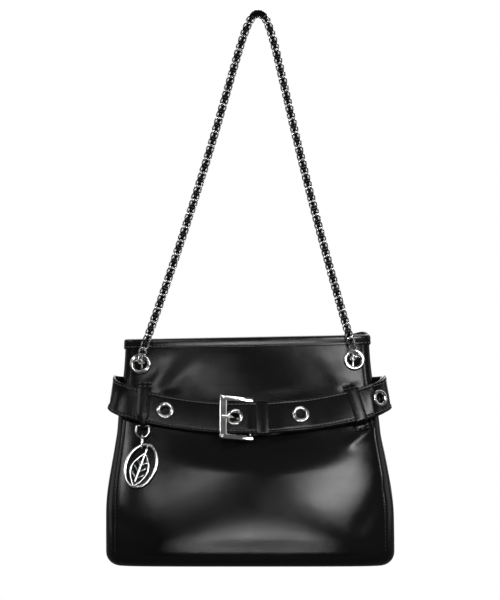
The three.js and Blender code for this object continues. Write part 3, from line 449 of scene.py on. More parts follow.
def sweep(path, across, section, ring=False):
    """Points and faces of a section [(across, other)] that is drawn along a path."""
    path = np.asarray(path, float)
    if ring:
        along = np.roll(path, -1, 0) - np.roll(path, 1, 0)
    else:
        along = np.gradient(path, axis=0)
    along = unit(along)
    across = np.broadcast_to(np.asarray(across, float), path.shape)
    side = unit(across - (across * along).sum(-1, keepdims=True) * along)
    other = np.cross(along, side)
    section = np.asarray(section, float)
    if section.ndim == 2:
        section = np.broadcast_to(section, (len(path),) + section.shape)
    points = (path[:, None] + section[..., 0, None] * side[:, None]
              + section[..., 1, None] * other[:, None])
    return points.reshape(-1, 3), sweep_faces(len(path), section.shape[1], ring)


def ways_along(points):
    """The length of a path from its start to each of its points."""
    return np.r_[0, np.cumsum(np.linalg.norm(np.diff(points, axis=0), axis=1))]


def apart(path):
    """Indices of the points of a path, without those that nearly lie on the one before."""
    kept = [0]
    for i in range(1, len(path)):
        if np.linalg.norm(path[i] - path[kept[-1]]) > 0.05:
            kept.append(i)
    return kept


def join_parts(parts):
    points, faces, start = [], [], 0
    for part_points, part_faces in parts:
        points.append(np.asarray(part_points, float))
        faces += [tuple(index + start for index in face) for face in part_faces]
        start += len(part_points)
    return np.concatenate(points), faces


def circle(radius, sides):
    turns = np.arange(sides) * 2 * math.pi / sides
    return np.stack([radius * np.cos(turns), radius * np.sin(turns)], -1)


def rounded_box(half_x, half_y, radius, steps=3):
    points = []
    for quarter, (sx, sy) in enumerate(((1, 1), (-1, 1), (-1, -1), (1, -1))):
        for step in range(steps + 1):
            turn = math.pi / 2 * (quarter + step / steps)
            points.append((sx * (half_x - radius) + radius * math.cos(turn),
                           sy * (half_y - radius) + radius * math.sin(turn)))
    return np.array(points)


def capsule_path(points, radius, steps=3):
    """A path that ends in domes, and the scale of the section at each of its points."""
    points = np.asarray(points, float)
    turns = np.linspace(0, math.pi / 2, steps + 1)[:-1]
    start, end = unit(points[1] - points[0]), unit(points[-1] - points[-2])
    head = [points[0] + start * radius * (1 - math.cos(t)) for t in turns]
    tail = [points[-1] - end * radius * (1 - math.cos(t)) for t in turns[::-1]]
    scales = [max(math.sin(t), 0.05) for t in turns]
    body = points[1:-1]
    first, last = points[0] + start * radius, points[-1] - end * radius
    keep = [p for p in body if np.dot(p - first, start) > 0 and np.dot(last - p, end) > 0]
    path = np.array(head + [first] + keep + [last] + tail)
    scale = np.array(scales + [1.0] * (len(keep) + 2) + scales[::-1])
    return path, scale


def dome_ended_bar(points, across, section, radius):
    path, scale = capsule_path(points, radius)
    return sweep(path, across, np.asarray(section)[None] * scale[:, None, None])


def revolve(profile, matrix, sides=48):
    """A closed profile [(radius, height)] turned round the frame's Z axis."""
    profile = np.asarray(profile, float)
    turns = np.arange(sides) * 2 * math.pi / sides
    ring = np.stack([np.cos(turns)[:, None] * profile[:, 0], np.sin(turns)[:, None] * profile[:, 0],
                     np.broadcast_to(profile[:, 1], (sides, len(profile)))], -1)
    return at(matrix, ring.reshape(-1, 3)), grid_faces(sides, len(profile), ring=True, row_ring=True)


def bend_corners(points, radius, steps=4, ring=False):
    """Rounds the corners of a path of any dimension."""
    points = np.asarray(points, float)
    count = len(points)
    result = [] if ring else [points[0]]
    for i in range(count) if ring else range(1, count - 1):
        before, here, after = points[i - 1], points[i], points[(i + 1) % count]
        cut_before = min(radius, np.linalg.norm(before[:3] - here[:3]) * 0.48)
        cut_after = min(radius, np.linalg.norm(after[:3] - here[:3]) * 0.48)
        start = here + (before - here) * cut_before / max(np.linalg.norm(before[:3] - here[:3]), 1e-6)
        end = here + (after - here) * cut_after / max(np.linalg.norm(after[:3] - here[:3]), 1e-6)
        for share in np.linspace(0, 1, steps + 1):
            result.append((1 - share) ** 2 * start + 2 * share * (1 - share) * here + share ** 2 * end)
    if not ring:
        result.append(points[-1])
    return np.array(result)


def bake_modifiers(piece):
    bpy.context.view_layer.update()
    graph = bpy.context.evaluated_depsgraph_get()
    mesh = bpy.data.meshes.new_from_object(piece.evaluated_get(graph))
    mesh.name = piece.name
    old = piece.data
    piece.modifiers.clear()
    piece.data = mesh
    bpy.data.meshes.remove(old)
    return piece


def cut_holes(piece, cutters):
    for cutter in cutters:
        hole = piece.modifiers.new("Hole", "BOOLEAN")
        hole.object = cutter
        hole.solver = "EXACT"
    bake_modifiers(piece)
    for cutter in cutters:
        remove_object(cutter)
    piece.data.polygons.foreach_set("use_smooth", [True] * len(piece.data.polygons))
    piece.data.set_sharp_from_angle(angle=math.radians(50))
    return piece


def drum(matrix, radius, low, high, sides=40):
    section = circle(radius, sides)
    points = np.concatenate([np.c_[section, np.full(sides, low)], np.c_[section, np.full(sides, high)]])
    return solid("cutter", at(matrix, points), sweep_faces(2, sides, False))


def finish_piece(piece, material, slot, body, *nodes):
    if piece.data.materials:
        piece.data.materials[0] = material
    else:
        piece.data.materials.append(material)
    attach(piece, body)
    if nodes:
        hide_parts(*nodes)
    return piece


def node_points(name):
    mesh = frame["nodes"][name].data
    points = np.zeros(len(mesh.vertices) * 3, np.float32)
    mesh.vertices.foreach_get("co", points)
    return np.unique(np.round(points.reshape(-1, 3).astype(float) * 1000, 3), axis=0)


def main_axes(points):
    """The middle of some points and their main directions, from the shortest to the longest."""
    middle = points.mean(0)
    return middle, np.linalg.eigh(np.cov((points - middle).T))[1].T


def turned_frame(name, outward=(0, -1, 0)):
    """The frame of a turned node: Z on its axis, at the middle, and its lowest and highest Z."""
    points = node_points(name)
    middle, (axis, _, _) = main_axes(points)
    if axis @ np.asarray(outward) < 0:
        axis = -axis
    side = unit(np.cross((0, 0, 1), axis))
    heights = (points - middle) @ axis
    return axes(side, np.cross(axis, side), axis, middle), heights.min(), heights.max()


# Materials

def new_material(name):
    material = bpy.data.materials.new(name)
    material.use_nodes = True
    tree = material.node_tree
    return material, tree, tree.nodes["Principled BSDF"]


def add_node(tree, kind, inputs=None, **values):
    node = tree.nodes.new(kind)
    for key, value in values.items():
        setattr(node, key, value)
    for key, value in (inputs or {}).items():
        if isinstance(value, bpy.types.NodeSocket):
            tree.links.new(value, node.inputs[key])
        else:
            node.inputs[key].default_value = value
    return node


def spread(tree, value, low, high, from_low=0.0, from_high=1.0):
    node = add_node(tree, "ShaderNodeMapRange", {"Value": value, "From Min": from_low, "From Max": from_high,
                                                 "To Min": low, "To Max": high})
    return node.outputs["Result"]


def object_coords(tree, stretch=None):
    coords = add_node(tree, "ShaderNodeTexCoord").outputs["Object"]
    if stretch:
        coords = add_node(tree, "ShaderNodeMapping", {"Vector": coords, "Scale": stretch}).outputs["Vector"]
    return coords


def noise(tree, coords, scale, detail=3.0, rough=0.5):
    return add_node(tree, "ShaderNodeTexNoise", {"Vector": coords, "Scale": scale, "Detail": detail,
                                                 "Roughness": rough}).outputs["Fac"]


def add_heights(tree, pairs):
    total = None
    for value, weight in pairs:
        part = add_node(tree, "ShaderNodeMath", {0: value, 1: weight}, operation="MULTIPLY").outputs[0]
        total = part if total is None else add_node(tree, "ShaderNodeMath", {0: total, 1: part}).outputs[0]
    return total


def shade(colour, share):
    return tuple(channel * share for channel in colour)


def set_colour(tree, shader, value, dark, light):
    ramp = add_node(tree, "ShaderNodeValToRGB", {"Fac": value})
    ramp.color_ramp.elements[0].color = (*dark, 1)
    ramp.color_ramp.elements[1].color = (*light, 1)
    tree.links.new(ramp.outputs["Color"], shader.inputs["Base Color"])


def set_roughness(tree, shader, value, low, high):
    tree.links.new(spread(tree, value, low, high, 0.3, 0.7), shader.inputs["Roughness"])


def set_bump(tree, shader, height, strength, distance):
    bump = add_node(tree, "ShaderNodeBump", {"Height": height, "Strength": strength, "Distance": distance})
    tree.links.new(bump.outputs["Normal"], shader.inputs["Normal"])


def leather_material(name, colour, roughness, grain, crease, shine):
    """Black calf leather: pebbled grain, long soft creases, wandering gloss, paler colour where creases stand
    high.
    """
    material, tree, shader = new_material(name)
    coords = object_coords(tree)
    cells = add_node(tree, "ShaderNodeTexVoronoi", {"Vector": coords, "Scale": 1000.0 / grain},
                     feature="DISTANCE_TO_EDGE").outputs["Distance"]
    pores = noise(tree, coords, 2600.0 / grain, 2.0)
    creases = noise(tree, object_coords(tree, (26, 40, 60)), 1.0, 4.0, 0.5)
    broad = noise(tree, coords, 22.0, 3.0)
    mix = add_heights(tree, ((spread(tree, cells, 0, 1, 0, 0.2), 0.045), (pores, 0.04), (creases, crease)))
    set_bump(tree, shader, mix, 0.5, 0.0006)
    set_roughness(tree, shader, broad, roughness - 0.05, roughness + 0.07)
    set_colour(tree, shader, creases, colour, tuple(c * 1.8 + 0.002 for c in colour))
    shader.inputs["Specular IOR Level"].default_value = shine
    return material


def metal_material(name, colour, roughness, scratch):
    """Polished nickel: faint hairlines, cloudy gloss and a trace of tarnish in the colour."""
    material, tree, shader = new_material(name)
    lines = noise(tree, object_coords(tree, (300, 300, 2600)), 1.0, 3.0)
    cloud = noise(tree, object_coords(tree), 160.0, 3.0)
    set_bump(tree, shader, lines, scratch, 0.0001)
    set_roughness(tree, shader, cloud, roughness - 0.04, roughness + 0.07)
    set_colour(tree, shader, cloud, shade(colour, 0.86), colour)
    shader.inputs["Metallic"].default_value = 1.0
    return material


def cloth_material(name, colour):
    """Plain woven lining with a dry sheen."""
    material, tree, shader = new_material(name)
    yarns = {"Vector": object_coords(tree), "Scale": 420.0, "Distortion": 0.6}
    across = add_node(tree, "ShaderNodeTexWave", yarns, bands_direction="X").outputs["Fac"]
    upward = add_node(tree, "ShaderNodeTexWave", yarns, bands_direction="Z").outputs["Fac"]
    weave = add_node(tree, "ShaderNodeMath", {0: across, 1: upward}, operation="MULTIPLY").outputs[0]
    set_bump(tree, shader, weave, 0.4, 0.0003)
    set_colour(tree, shader, weave, shade(colour, 0.6), colour)
    shader.inputs["Roughness"].default_value = 0.85
    shader.inputs["Sheen Weight"].default_value = 0.2
    return material


def thread_material(name, colour):
    """Waxed thread, twisted from fine strands."""
    material, tree, shader = new_material(name)
    strands = add_node(tree, "ShaderNodeTexWave", {"Vector": object_coords(tree), "Scale": 700.0},
                       bands_direction="DIAGONAL").outputs["Fac"]
    set_bump(tree, shader, strands, 0.4, 0.0002)
    set_colour(tree, shader, strands, shade(colour, 0.6), colour)
    shader.inputs["Roughness"].default_value = 0.5
    return material


def board_material(name, colour):
    """Pressed fibre board with short flecks."""
    material, tree, shader = new_material(name)
    flecks = noise(tree, object_coords(tree, (400, 900, 400)), 1.0, 4.0)
    set_bump(tree, shader, flecks, 0.4, 0.0004)
    set_colour(tree, shader, flecks, shade(colour, 0.6), colour)
    shader.inputs["Roughness"].default_value = 0.9
    return material


MATERIALS = {}


def finish_of(name):
    """The finish of that name; all of them are made at the first call."""
    look = bpy.context.scene.bag_look
    if not MATERIALS:
        black, nickel = tuple(look.leather_colour), tuple(look.nickel_colour)
        # The thread colour is painted lighter than the dark thread: a painted glint on each stitch; the seam
        # thread takes a tenth of it
        thread, gloss = tuple(look.thread_and_glint_colour), look.leather_gloss
        # For leather: colour, roughness, size of the grain, depth of the creases and shine
        MATERIALS.update({
            "body": leather_material("body leather", black, gloss, 0.9, 0.4, 0.28),
            "belt": leather_material("belt leather", black, gloss, 0.7, 0.15, 0.25),
            "edge": leather_material("edge leather", black, gloss - 0.03, 0.7, 0.3, 0.4),
            "inner": leather_material("inner leather", shade(black, 2), 0.55, 0.8, 0.3, 0.2),
            "lining": cloth_material("lining cloth", tuple(look.lining_colour)),
            "board": board_material("fibre board", (0.28, 0.24, 0.2)),
            "nickel": metal_material("polished nickel", nickel, look.nickel_gloss, 0.08),
            "thread": thread_material("waxed thread", thread),
            "seam thread": thread_material("seam thread", shade(thread, 0.1)),
        })
    return MATERIALS[name]


def nickel_piece(piece, body, node):
    return finish_piece(piece, finish_of("nickel"), "nickel", body, node)


def leather_piece(piece, finish, *nodes):
    return finish_piece(piece, finish_of(finish), "gloss_leather", "bag", *nodes)


# Rows of like things

def group_socket(tree, name, kind, is_output=False):
    return tree.interface.new_socket(name, in_out="OUTPUT" if is_output else "INPUT", socket_type=kind)


def row_tree(name, by_count):
    """Sets an item along a row, with its X along the row, or its Z for links, turned to the outward side."""
    tree = bpy.data.node_groups.new(name, "GeometryNodeTree")
    group_socket(tree, "Row", "NodeSocketGeometry")
    names = ("Item", "Last item", "Count") if by_count else ("Item", "Pitch")
    kinds = {"Item": "NodeSocketObject", "Last item": "NodeSocketObject", "Count": "NodeSocketInt",
             "Pitch": "NodeSocketFloat"}
    for socket in names:
        group_socket(tree, socket, kinds[socket])
    group_socket(tree, "Finish", "NodeSocketMaterial")
    group_socket(tree, "Row", "NodeSocketGeometry", is_output=True)
    entry = tree.nodes.new("NodeGroupInput").outputs
    leave = tree.nodes.new("NodeGroupOutput").inputs
    curve = add_node(tree, "GeometryNodeMeshToCurve", {"Mesh": entry["Row"]}).outputs["Curve"]
    steps = {"Count": entry["Count"]} if by_count else {"Length": entry["Pitch"]}
    even = add_node(tree, "GeometryNodeResampleCurve", {"Curve": curve, **steps},
                    mode="COUNT" if by_count else "LENGTH")
    tangent = add_node(tree, "GeometryNodeInputTangent").outputs["Tangent"]
    outward = add_node(tree, "GeometryNodeInputNamedAttribute", {"Name": "outward"},
                       data_type="FLOAT_VECTOR").outputs["Attribute"]
    turn = add_node(tree, "FunctionNodeAxesToRotation", {"Primary Axis": tangent, "Secondary Axis": outward},
                    primary_axis="Z" if by_count else "X", secondary_axis="Y" if by_count else "Z")
    sets = []
    items = [("Item", None)]
    if by_count:
        index = add_node(tree, "GeometryNodeInputIndex").outputs["Index"]
        last = add_node(tree, "ShaderNodeMath", {0: entry["Count"], 1: 1.5}, operation="SUBTRACT").outputs[0]
        is_last = add_node(tree, "FunctionNodeCompare", {"A": index, "B": last}, operation="GREATER_THAN",
                           data_type="FLOAT").outputs["Result"]
        others = add_node(tree, "FunctionNodeBooleanMath", {0: is_last}, operation="NOT").outputs["Boolean"]
        items = [("Item", others), ("Last item", is_last)]
    for socket, chosen in items:
        shape = add_node(tree, "GeometryNodeObjectInfo", {"Object": entry[socket]}).outputs["Geometry"]
        inputs = {"Points": even.outputs["Curve"], "Instance": shape, "Rotation": turn.outputs["Rotation"]}
        if chosen is not None:
            inputs["Selection"] = chosen
        sets.append(add_node(tree, "GeometryNodeInstanceOnPoints", inputs).outputs["Instances"])
    joined = tree.nodes.new("GeometryNodeJoinGeometry")
    for item in sets:
        tree.links.new(item, joined.inputs["Geometry"])
    real = add_node(tree, "GeometryNodeRealizeInstances", {"Geometry": joined.outputs["Geometry"]})
    done = add_node(tree, "GeometryNodeSetMaterial", {"Geometry": real.outputs["Geometry"],
                                                      "Material": entry["Finish"]})
    tree.links.new(done.outputs["Geometry"], leave["Row"])
    return tree


def row_object(name, rows):
    """Lines with an outward direction at each point; rows is a list of (points, outwards, closed)."""
    points, sides, edges, start = [], [], [], 0
    for line, outwards, closed in rows:
        count = len(line)
        points += (np.asarray(line) / 1000).tolist()
        sides.append(np.broadcast_to(np.asarray(outwards, float), (count, 3)))
        edges += [(start + i, start + i + 1) for i in range(count - 1)]
        if closed:
            edges.append((start + count - 1, start))
        start += count
    mesh = bpy.data.meshes.new(name)
    mesh.from_pydata(points, edges, [])
    mesh.attributes.new("outward", "FLOAT_VECTOR", "POINT").data.foreach_set(
        "vector", np.concatenate(sides).astype(np.float32).ravel())
    piece = bpy.data.objects.new(name, mesh)
    bpy.context.scene.collection.objects.link(piece)
    return piece


def set_row(piece, tree, values):
    modifier = piece.modifiers.new("Row", "NODES")
    modifier.node_group = tree
    sockets = {item.name: item.identifier for item in tree.interface.items_tree if item.in_out == "INPUT"}
    for name, value in values.items():
        modifier[sockets[name]] = value
    bake_modifiers(piece)
    piece.data.polygons.foreach_set("use_smooth", [True] * len(piece.data.polygons))
    return piece


def stitch_item(length, width, height):
    rings = [(-0.5, 0.25), (-0.32, 0.85), (0, 1.0), (0.32, 0.85), (0.5, 0.25)]
    path = np.array([(share * length, 0, height * (0.6 - 1.6 * share * share)) for share, _ in rings])
    section = np.array([circle(1, 6) * (width / 2 * size, height / 2 * size) for _, size in rings])
    points, faces = sweep(path, (0, 1, 0), section)
    return solid("stitch", points, faces)


def sew(name, rows, finish):
    sewing = bpy.context.scene.bag_sewing
    pitch = sewing.stitch_pitch * 1000
    item = stitch_item(pitch * 0.8, sewing.thread_width * 1000, sewing.thread_width * 850)
    row = row_object(name, rows)
    tree = bpy.data.node_groups.get("Stitch row") or row_tree("Stitch row", by_count=False)
    set_row(row, tree, {"Item": item, "Pitch": sewing.stitch_pitch, "Finish": finish_of(finish)})
    remove_object(item)
    return leather_piece(row, finish)


# Body

def sack(name, rings, floor_out, floor_in):
    """A closed wall with a floor: its rings go up the outside and down the inside."""
    columns = rings.shape[1]
    faces = grid_faces(len(rings), columns, ring=True)
    points = np.concatenate([rings.reshape(-1, 3), [floor_out], [floor_in]])
    last = (len(rings) - 1) * columns
    for column in range(columns):
        after = (column + 1) % columns
        faces.append((len(points) - 2, after, column))
        faces.append((len(points) - 1, last + column, last + after))
    return solid(name, points, faces)


def strap_eyelet_cutters():
    frames = [turned_frame(f"strap_eyelet_{word}")[0] for word in RUNS]
    return [drum(matrix, STRAP_EYELET_HOLE, -14, 14) for matrix in frames]


def seam_groove(angle):
    """Depth of the seams between the panels and the gussets."""
    gaps = [np.angle(np.exp(1j * (angle - turn))) for turn in SEAM_TURNS]
    return 0.4 * sum(np.exp(-((gap / 0.007) ** 2)) for gap in gaps)


def body_columns(count):
    """Angles round the body, evenly spaced and closer together at the seams."""
    even = np.linspace(0, 2 * math.pi, count, endpoint=False)
    offsets = (-0.014, -0.007, -0.0035, 0, 0.0035, 0.007, 0.014)
    close = np.mod([turn + offset for turn in SEAM_TURNS for offset in offsets], 2 * math.pi)
    far = np.abs(np.angle(np.exp(1j * (even[:, None] - close[None])))).min(1) > 0.01
    return np.sort(np.concatenate([even[far], close]))


def body_shell():
    angles = body_columns(300)
    groove = seam_groove(angles)
    ways = np.concatenate([np.linspace(0, ROUNDING_WAY, 9)[:-1], np.linspace(ROUNDING_WAY, TOP_WAY, 116)])
    # The seams end above the base
    outside = [soft_point(angles, way, -groove * ease(way, 1, 12)) for way in ways]
    inside = [soft_point(angles, way, -LEATHER) for way in ways[::-1]]
    low_out, low_in = outside[0], inside[-1]
    middle_out, middle_in = low_out.mean(0), low_in.mean(0)
    welt = [(0.965, 0.7), (0.955, 0.0), (0.8, 0.0), (0.5, 0.0), (0.2, 0.0)]
    floor_out = [middle_out + (low_out - middle_out) * s + (0, 0, lift) for s, lift in reversed(welt)]
    floor_in = [middle_in + (low_in - middle_in) * s for s in (0.8, 0.5, 0.2)]
    rings = np.array(floor_out + outside + inside + floor_in)
    return cut_holes(sack("body_shell", rings, middle_out, middle_in), strap_eyelet_cutters())


def binding_profile():
    outside, inside = FACING_GAP, -LEATHER - FACING - 2 * FACING_GAP
    low = TOP_WAY - BINDING_DEPTH
    middle = (outside + inside) / 2
    reach = outside + BINDING - middle
    roll = []
    for turn in np.linspace(0.0, math.pi, 13):
        side = math.copysign(abs(math.cos(turn)) ** 0.7, math.cos(turn))
        roll.append((TOP_WAY - 1.4 + 3.4 * math.sin(turn) ** 0.8, middle + reach * side))
    outer_leg = [(low, outside + 0.15), (low - 0.1, outside + 0.55), (low + 0.25, outside + 0.9),
                 (low + 1.0, outside + BINDING), (low + BINDING_STITCH, outside + BINDING - 0.25),
                 (low + 3.4, outside + BINDING)]
    inner_leg = [(low, inside - BINDING), (low - 0.1, inside - 0.4), (low, inside)]
    return outer_leg + roll + inner_leg + [(TOP_WAY + 0.3, inside), (TOP_WAY + 0.3, outside)]


def mouth_binding():
    angles = np.linspace(0, 2 * math.pi, 240, endpoint=False)
    rings = np.array([soft_point(angles, way, out) for way, out in binding_profile()])
    faces = grid_faces(len(rings), len(angles), ring=True, row_ring=True)
    return solid("mouth_roll", rings.reshape(-1, 3), faces)


def facing_band():
    angles = np.linspace(0, 2 * math.pi, 200, endpoint=False)
    ways = np.linspace(wall_way(BODY_HEIGHT - FACING_DEPTH), TOP_WAY, 24)
    outer = -LEATHER - FACING_GAP
    outside = [soft_point(angles, way, outer) for way in ways]
    inside = [soft_point(angles, way, outer - FACING) for way in ways[::-1]]
    rings = np.array(outside + inside)
    faces = grid_faces(len(rings), len(angles), ring=True, row_ring=True)
    return cut_holes(solid("mouth_facing", rings.reshape(-1, 3), faces), strap_eyelet_cutters())


def lining_sack():
    angles = np.linspace(0, 2 * math.pi, 160, endpoint=False)
    outer = -LEATHER - FACING_GAP
    inner = outer - LINING
    low = ROUNDING * math.acos((ROUNDING - LINING_FLOOR) / (ROUNDING + outer))
    ways = np.linspace(low, wall_way(BODY_HEIGHT - FACING_DEPTH) - 0.3, 60)
    slack = 0.5 * np.sin(angles * 22) * np.sin(angles * 9 + 1)
    outside = [soft_point(angles, way, outer - 0.2) for way in ways]
    inside = [soft_point(angles, way, inner - 0.2 - np.abs(slack) * ease(way, 20, 70)) for way in ways[::-1]]
    for ring, lift in ((outside[0], 0.0), (inside[-1], LINING)):
        ring[:, 2] = BAG[2] + LINING_FLOOR + lift
    middle = outside[0].mean(0)
    shares = (0.9, 0.6, 0.3)
    floor_out = [middle + (outside[0] - middle) * s for s in reversed(shares)]
    floor_in = [np.array([middle[0], middle[1], inside[-1][0, 2]]) * (1 - s) + inside[-1] * s for s in shares]
    rings = np.array(floor_out + outside + inside + floor_in)
    return sack("lining_sack", rings, middle, middle + (0, 0, LINING))


def wall_row(angles, ways, out):
    """Points on the leather and the directions out of it."""
    points = soft_point(angles, ways, out)
    return points, unit(soft_point(angles, ways, out + 1.0) - points)


# Belt

def belt_path():
    """Middle, upward side, outward side and layer along the whole belt, from the folded end to the tongue."""
    places, ups, outs, layers = [], [], [], []

    def lay(values, middle, flip, layer):
        for angle in values:
            matrix = belt_frame(angle)
            places.append(at(matrix, (0, 0, middle(angle))))
            ups.append(matrix[:3, 1])
            outs.append(-matrix[:3, 2] if flip else matrix[:3, 2])
            layers.append(layer)

    fold_end = front_angle(BAR_PLACE + FOLD_LENGTH, BELT_FRONT_HEIGHT)
    lay(np.linspace(fold_end, BAR_ANGLE, 14), lambda a: belt_middle(a, 0), True, 0)
    radius = FOLD_LIFT / 2
    for degrees in np.linspace(-70, 70, 9):
        cos, sin = math.cos(math.radians(degrees)), math.sin(math.radians(degrees))
        places.append(at(BAR_FRAME, (-radius * cos, 0, radius * sin)))
        ups.append(BAR_FRAME[:3, 1])
        outs.append(BAR_FRAME[:3, :3] @ np.array([-cos, 0, sin]))
        layers.append(1)
    start = np.concatenate([front_span(BAR_ANGLE, 0), np.linspace(0, math.pi, 170)[1:]])
    lay(start, lambda a: belt_middle(a, start_lift(a)), False, 2)
    lay(front_span(-math.pi, 0)[1:], tongue_middle, False, 3)
    lay(np.linspace(0, tongue_end(), 26)[1:], tongue_middle, False, 3)
    return np.array(places), np.array(ups), np.array(outs), np.array(layers)


def front_span(low, high):
    """Angles about 2 mm apart on the front between two angles."""
    fine = np.linspace(low, high, 2000)
    points = body_point(fine, wall_way(belt_height(fine)), 0)
    ways = ways_along(points)
    return np.interp(np.linspace(0, ways[-1], int(ways[-1] / 2) + 1), ways, fine)


def tongue_end():
    """The tongue ends one tail beyond its last eyelet."""
    last = node_points("belt_eyelet_4").mean(0)
    fine = np.linspace(-0.9, 1.2, 1200)
    points = np.array([at(belt_frame(a), (0, 0, tongue_middle(a))) for a in fine])
    ways = ways_along(points)
    here = ways[np.argmin(np.linalg.norm(points - last, axis=1))]
    return float(np.interp(here + TONGUE_TAIL, ways, fine))


def belt_section():
    """Rounded edges, with a creased line along each edge."""
    half, thick = BELT_WIDTH / 2, BELT_THICK / 2
    crease = half - BELT_CREASE
    rounding = [(half - BELT_ROUND * (1 - math.sin(t)), thick - BELT_ROUND * (1 - math.cos(t)))
                for t in np.linspace(0, 1.4, 6)]
    right = [(0, thick + 0.12), (crease - 1.8, thick + 0.05), (crease - 0.5, thick),
             (crease, thick - CREASE_DEPTH), (crease + 0.5, thick), *rounding,
             (half - 0.1, 0.4 - thick), (half - 0.5, 0.1 - thick), (half - 1.2, -thick), (0, -thick)]
    left = [(-y, z) for y, z in right[1:-1]][::-1]
    return np.array(right + left)


def smooth_path(places, keep, passes):
    for _ in range(passes):
        mean = places.copy()
        mean[1:-1] = (places[:-2] + 2 * places[1:-1] + places[2:]) / 4
        places = np.where(keep[:, None], places, mean)
    return places


def belt_rings():
    """Sections along the belt, with a rounded tip and flat seats for the eyelets."""
    places, ups, outs, layers = belt_path()
    places = smooth_path(places, layers < 2, 6)
    section = belt_section()
    ups = unit(ups)
    outs = unit(outs - (outs * ups).sum(-1, keepdims=True) * ups)
    rings = (places[:, None] + section[None, :, 0, None] * ups[:, None]
             + section[None, :, 1, None] * outs[:, None])
    way = ways_along(places)
    tip = np.clip((TONGUE_TIP - way[-1] + way) / TONGUE_TIP, 0, 1)
    reach = BELT_WIDTH / 2 * np.sqrt(np.maximum(1 - tip ** 2, 0.02))[:, None]
    across = ((rings - places[:, None]) * ups[:, None]).sum(-1)
    rings = rings + (np.clip(across, -reach, reach) - across)[..., None] * ups[:, None]
    for number in BELT_EYELETS:
        matrix, low, _ = turned_frame(f"belt_eyelet_{number}")
        seat = low + 0.7 + BELT_THICK / 2
        local = (rings - matrix[:3, 3]) @ matrix[:3, :3]
        near = ease(np.hypot(local[..., 0], local[..., 1]), 17, 9.5) * (layers == 3)[:, None]
        near = near * (np.abs(local[..., 2]) < 9)
        flat = seat + section[None, :, 1]
        rings = rings + (near * (flat - local[..., 2]))[..., None] * matrix[:3, 2]
    return rings, outs, layers


def belt_strap():
    rings, _, _ = belt_rings()
    rows, count = rings.shape[:2]
    strap = solid("belt_leather", rings.reshape(-1, 3), sweep_faces(rows, count, False))
    cutters = []
    for number in BELT_EYELETS:
        matrix, low, high = turned_frame(f"belt_eyelet_{number}")
        cutters.append(drum(matrix, BELT_EYELET_HOLE, low - 0.4, high + 0.4))
    box = rounded_box(10, 2.3, 0.5, 2)
    points = np.concatenate([np.c_[box, np.full(len(box), low)] for low in (-5.0, 5.0)])
    cutters.append(solid("cutter", at(BAR_FRAME, points), sweep_faces(2, len(box), False)))
    return cut_holes(strap, cutters)


def belt_stitch_rows():
    rings, outs, layers = belt_rings()
    section = belt_section()
    crease = BELT_WIDTH / 2 - BELT_CREASE
    foot = BELT_THICK / 2 - CREASE_DEPTH
    rows = []
    for side in (1, -1):
        column = int(np.argmin(np.hypot(section[:, 0] - side * crease, section[:, 1] - foot)))
        for layer, ends in ((2, (14, 1)), (3, (0, 7))):
            chosen = np.flatnonzero(layers == layer)[ends[0]:]
            chosen = chosen[:len(chosen) - ends[1]]
            rows.append((rings[chosen, column] + outs[chosen] * 0.1, outs[chosen], False))
    return rows


def wall_relief(matrix, angle, up, form=body_point):
    """How far the wall stands out of a flat frame on it, at a way up from the belt's middle."""
    point = form(angle, wall_way(belt_height(angle) + up), 0)
    return float((point - matrix[:3, 3]) @ matrix[:3, 2])


def sewn_height(matrix, angle, up):
    return wall_relief(matrix, angle, up, soft_point) + CARRIER_SEAT + SEAT_GAP


def carrier_top(matrix, angle, over, edge):
    """Stops of a carrier from its sewn upper end down over the belt's edge."""
    half = CARRIER_WIDTH / 2
    end, foot = edge + CARRIER_TAB, edge + CARRIER_THICK
    return [(end, sewn_height(matrix, angle, end), half + CARRIER_FLARE),
            (foot, sewn_height(matrix, angle, foot), half + CARRIER_FLARE / 2),
            (edge, over - CARRIER_BEND, half), (edge - CARRIER_BEND, over, half)]


def carrier_band(matrix, stops):
    """A band of leather through [up, out, half width] stops, with rounded corners and edges."""
    path = bend_corners(np.array(stops), CARRIER_CORNER, 4)
    flat = np.c_[np.zeros(len(path)), path[:, :2]]
    kept = apart(flat)
    section = [rounded_box(half, CARRIER_THICK / 2, CARRIER_THICK * 0.4, 2) for half in path[kept, 2]]
    points, faces = sweep(flat[kept], (1, 0, 0), section)
    return at(matrix, points), faces


BELT_EDGE = BELT_WIDTH / 2 + CARRIER_SEAT


def plain_carrier(angle, outer_face):
    matrix = belt_frame(angle)
    over = outer_face + CARRIER_SEAT + SEAT_GAP
    top = carrier_top(matrix, angle, over, BELT_EDGE)
    bottom = []
    for i, (up, out, half) in enumerate(top):
        sewn = sewn_height(matrix, angle, -up) if i < 2 else out
        bottom.append((-up, sewn, half))
    stops = top + bottom[::-1]
    return carrier_band(matrix, stops), (matrix, stops)


def upright_frame(angle):
    matrix = belt_frame(angle)
    out = matrix[:3, 2]
    level = unit(np.array([-out[1], out[0], 0]))
    return axes(level, np.cross(out, level), out, matrix[:3, 3])


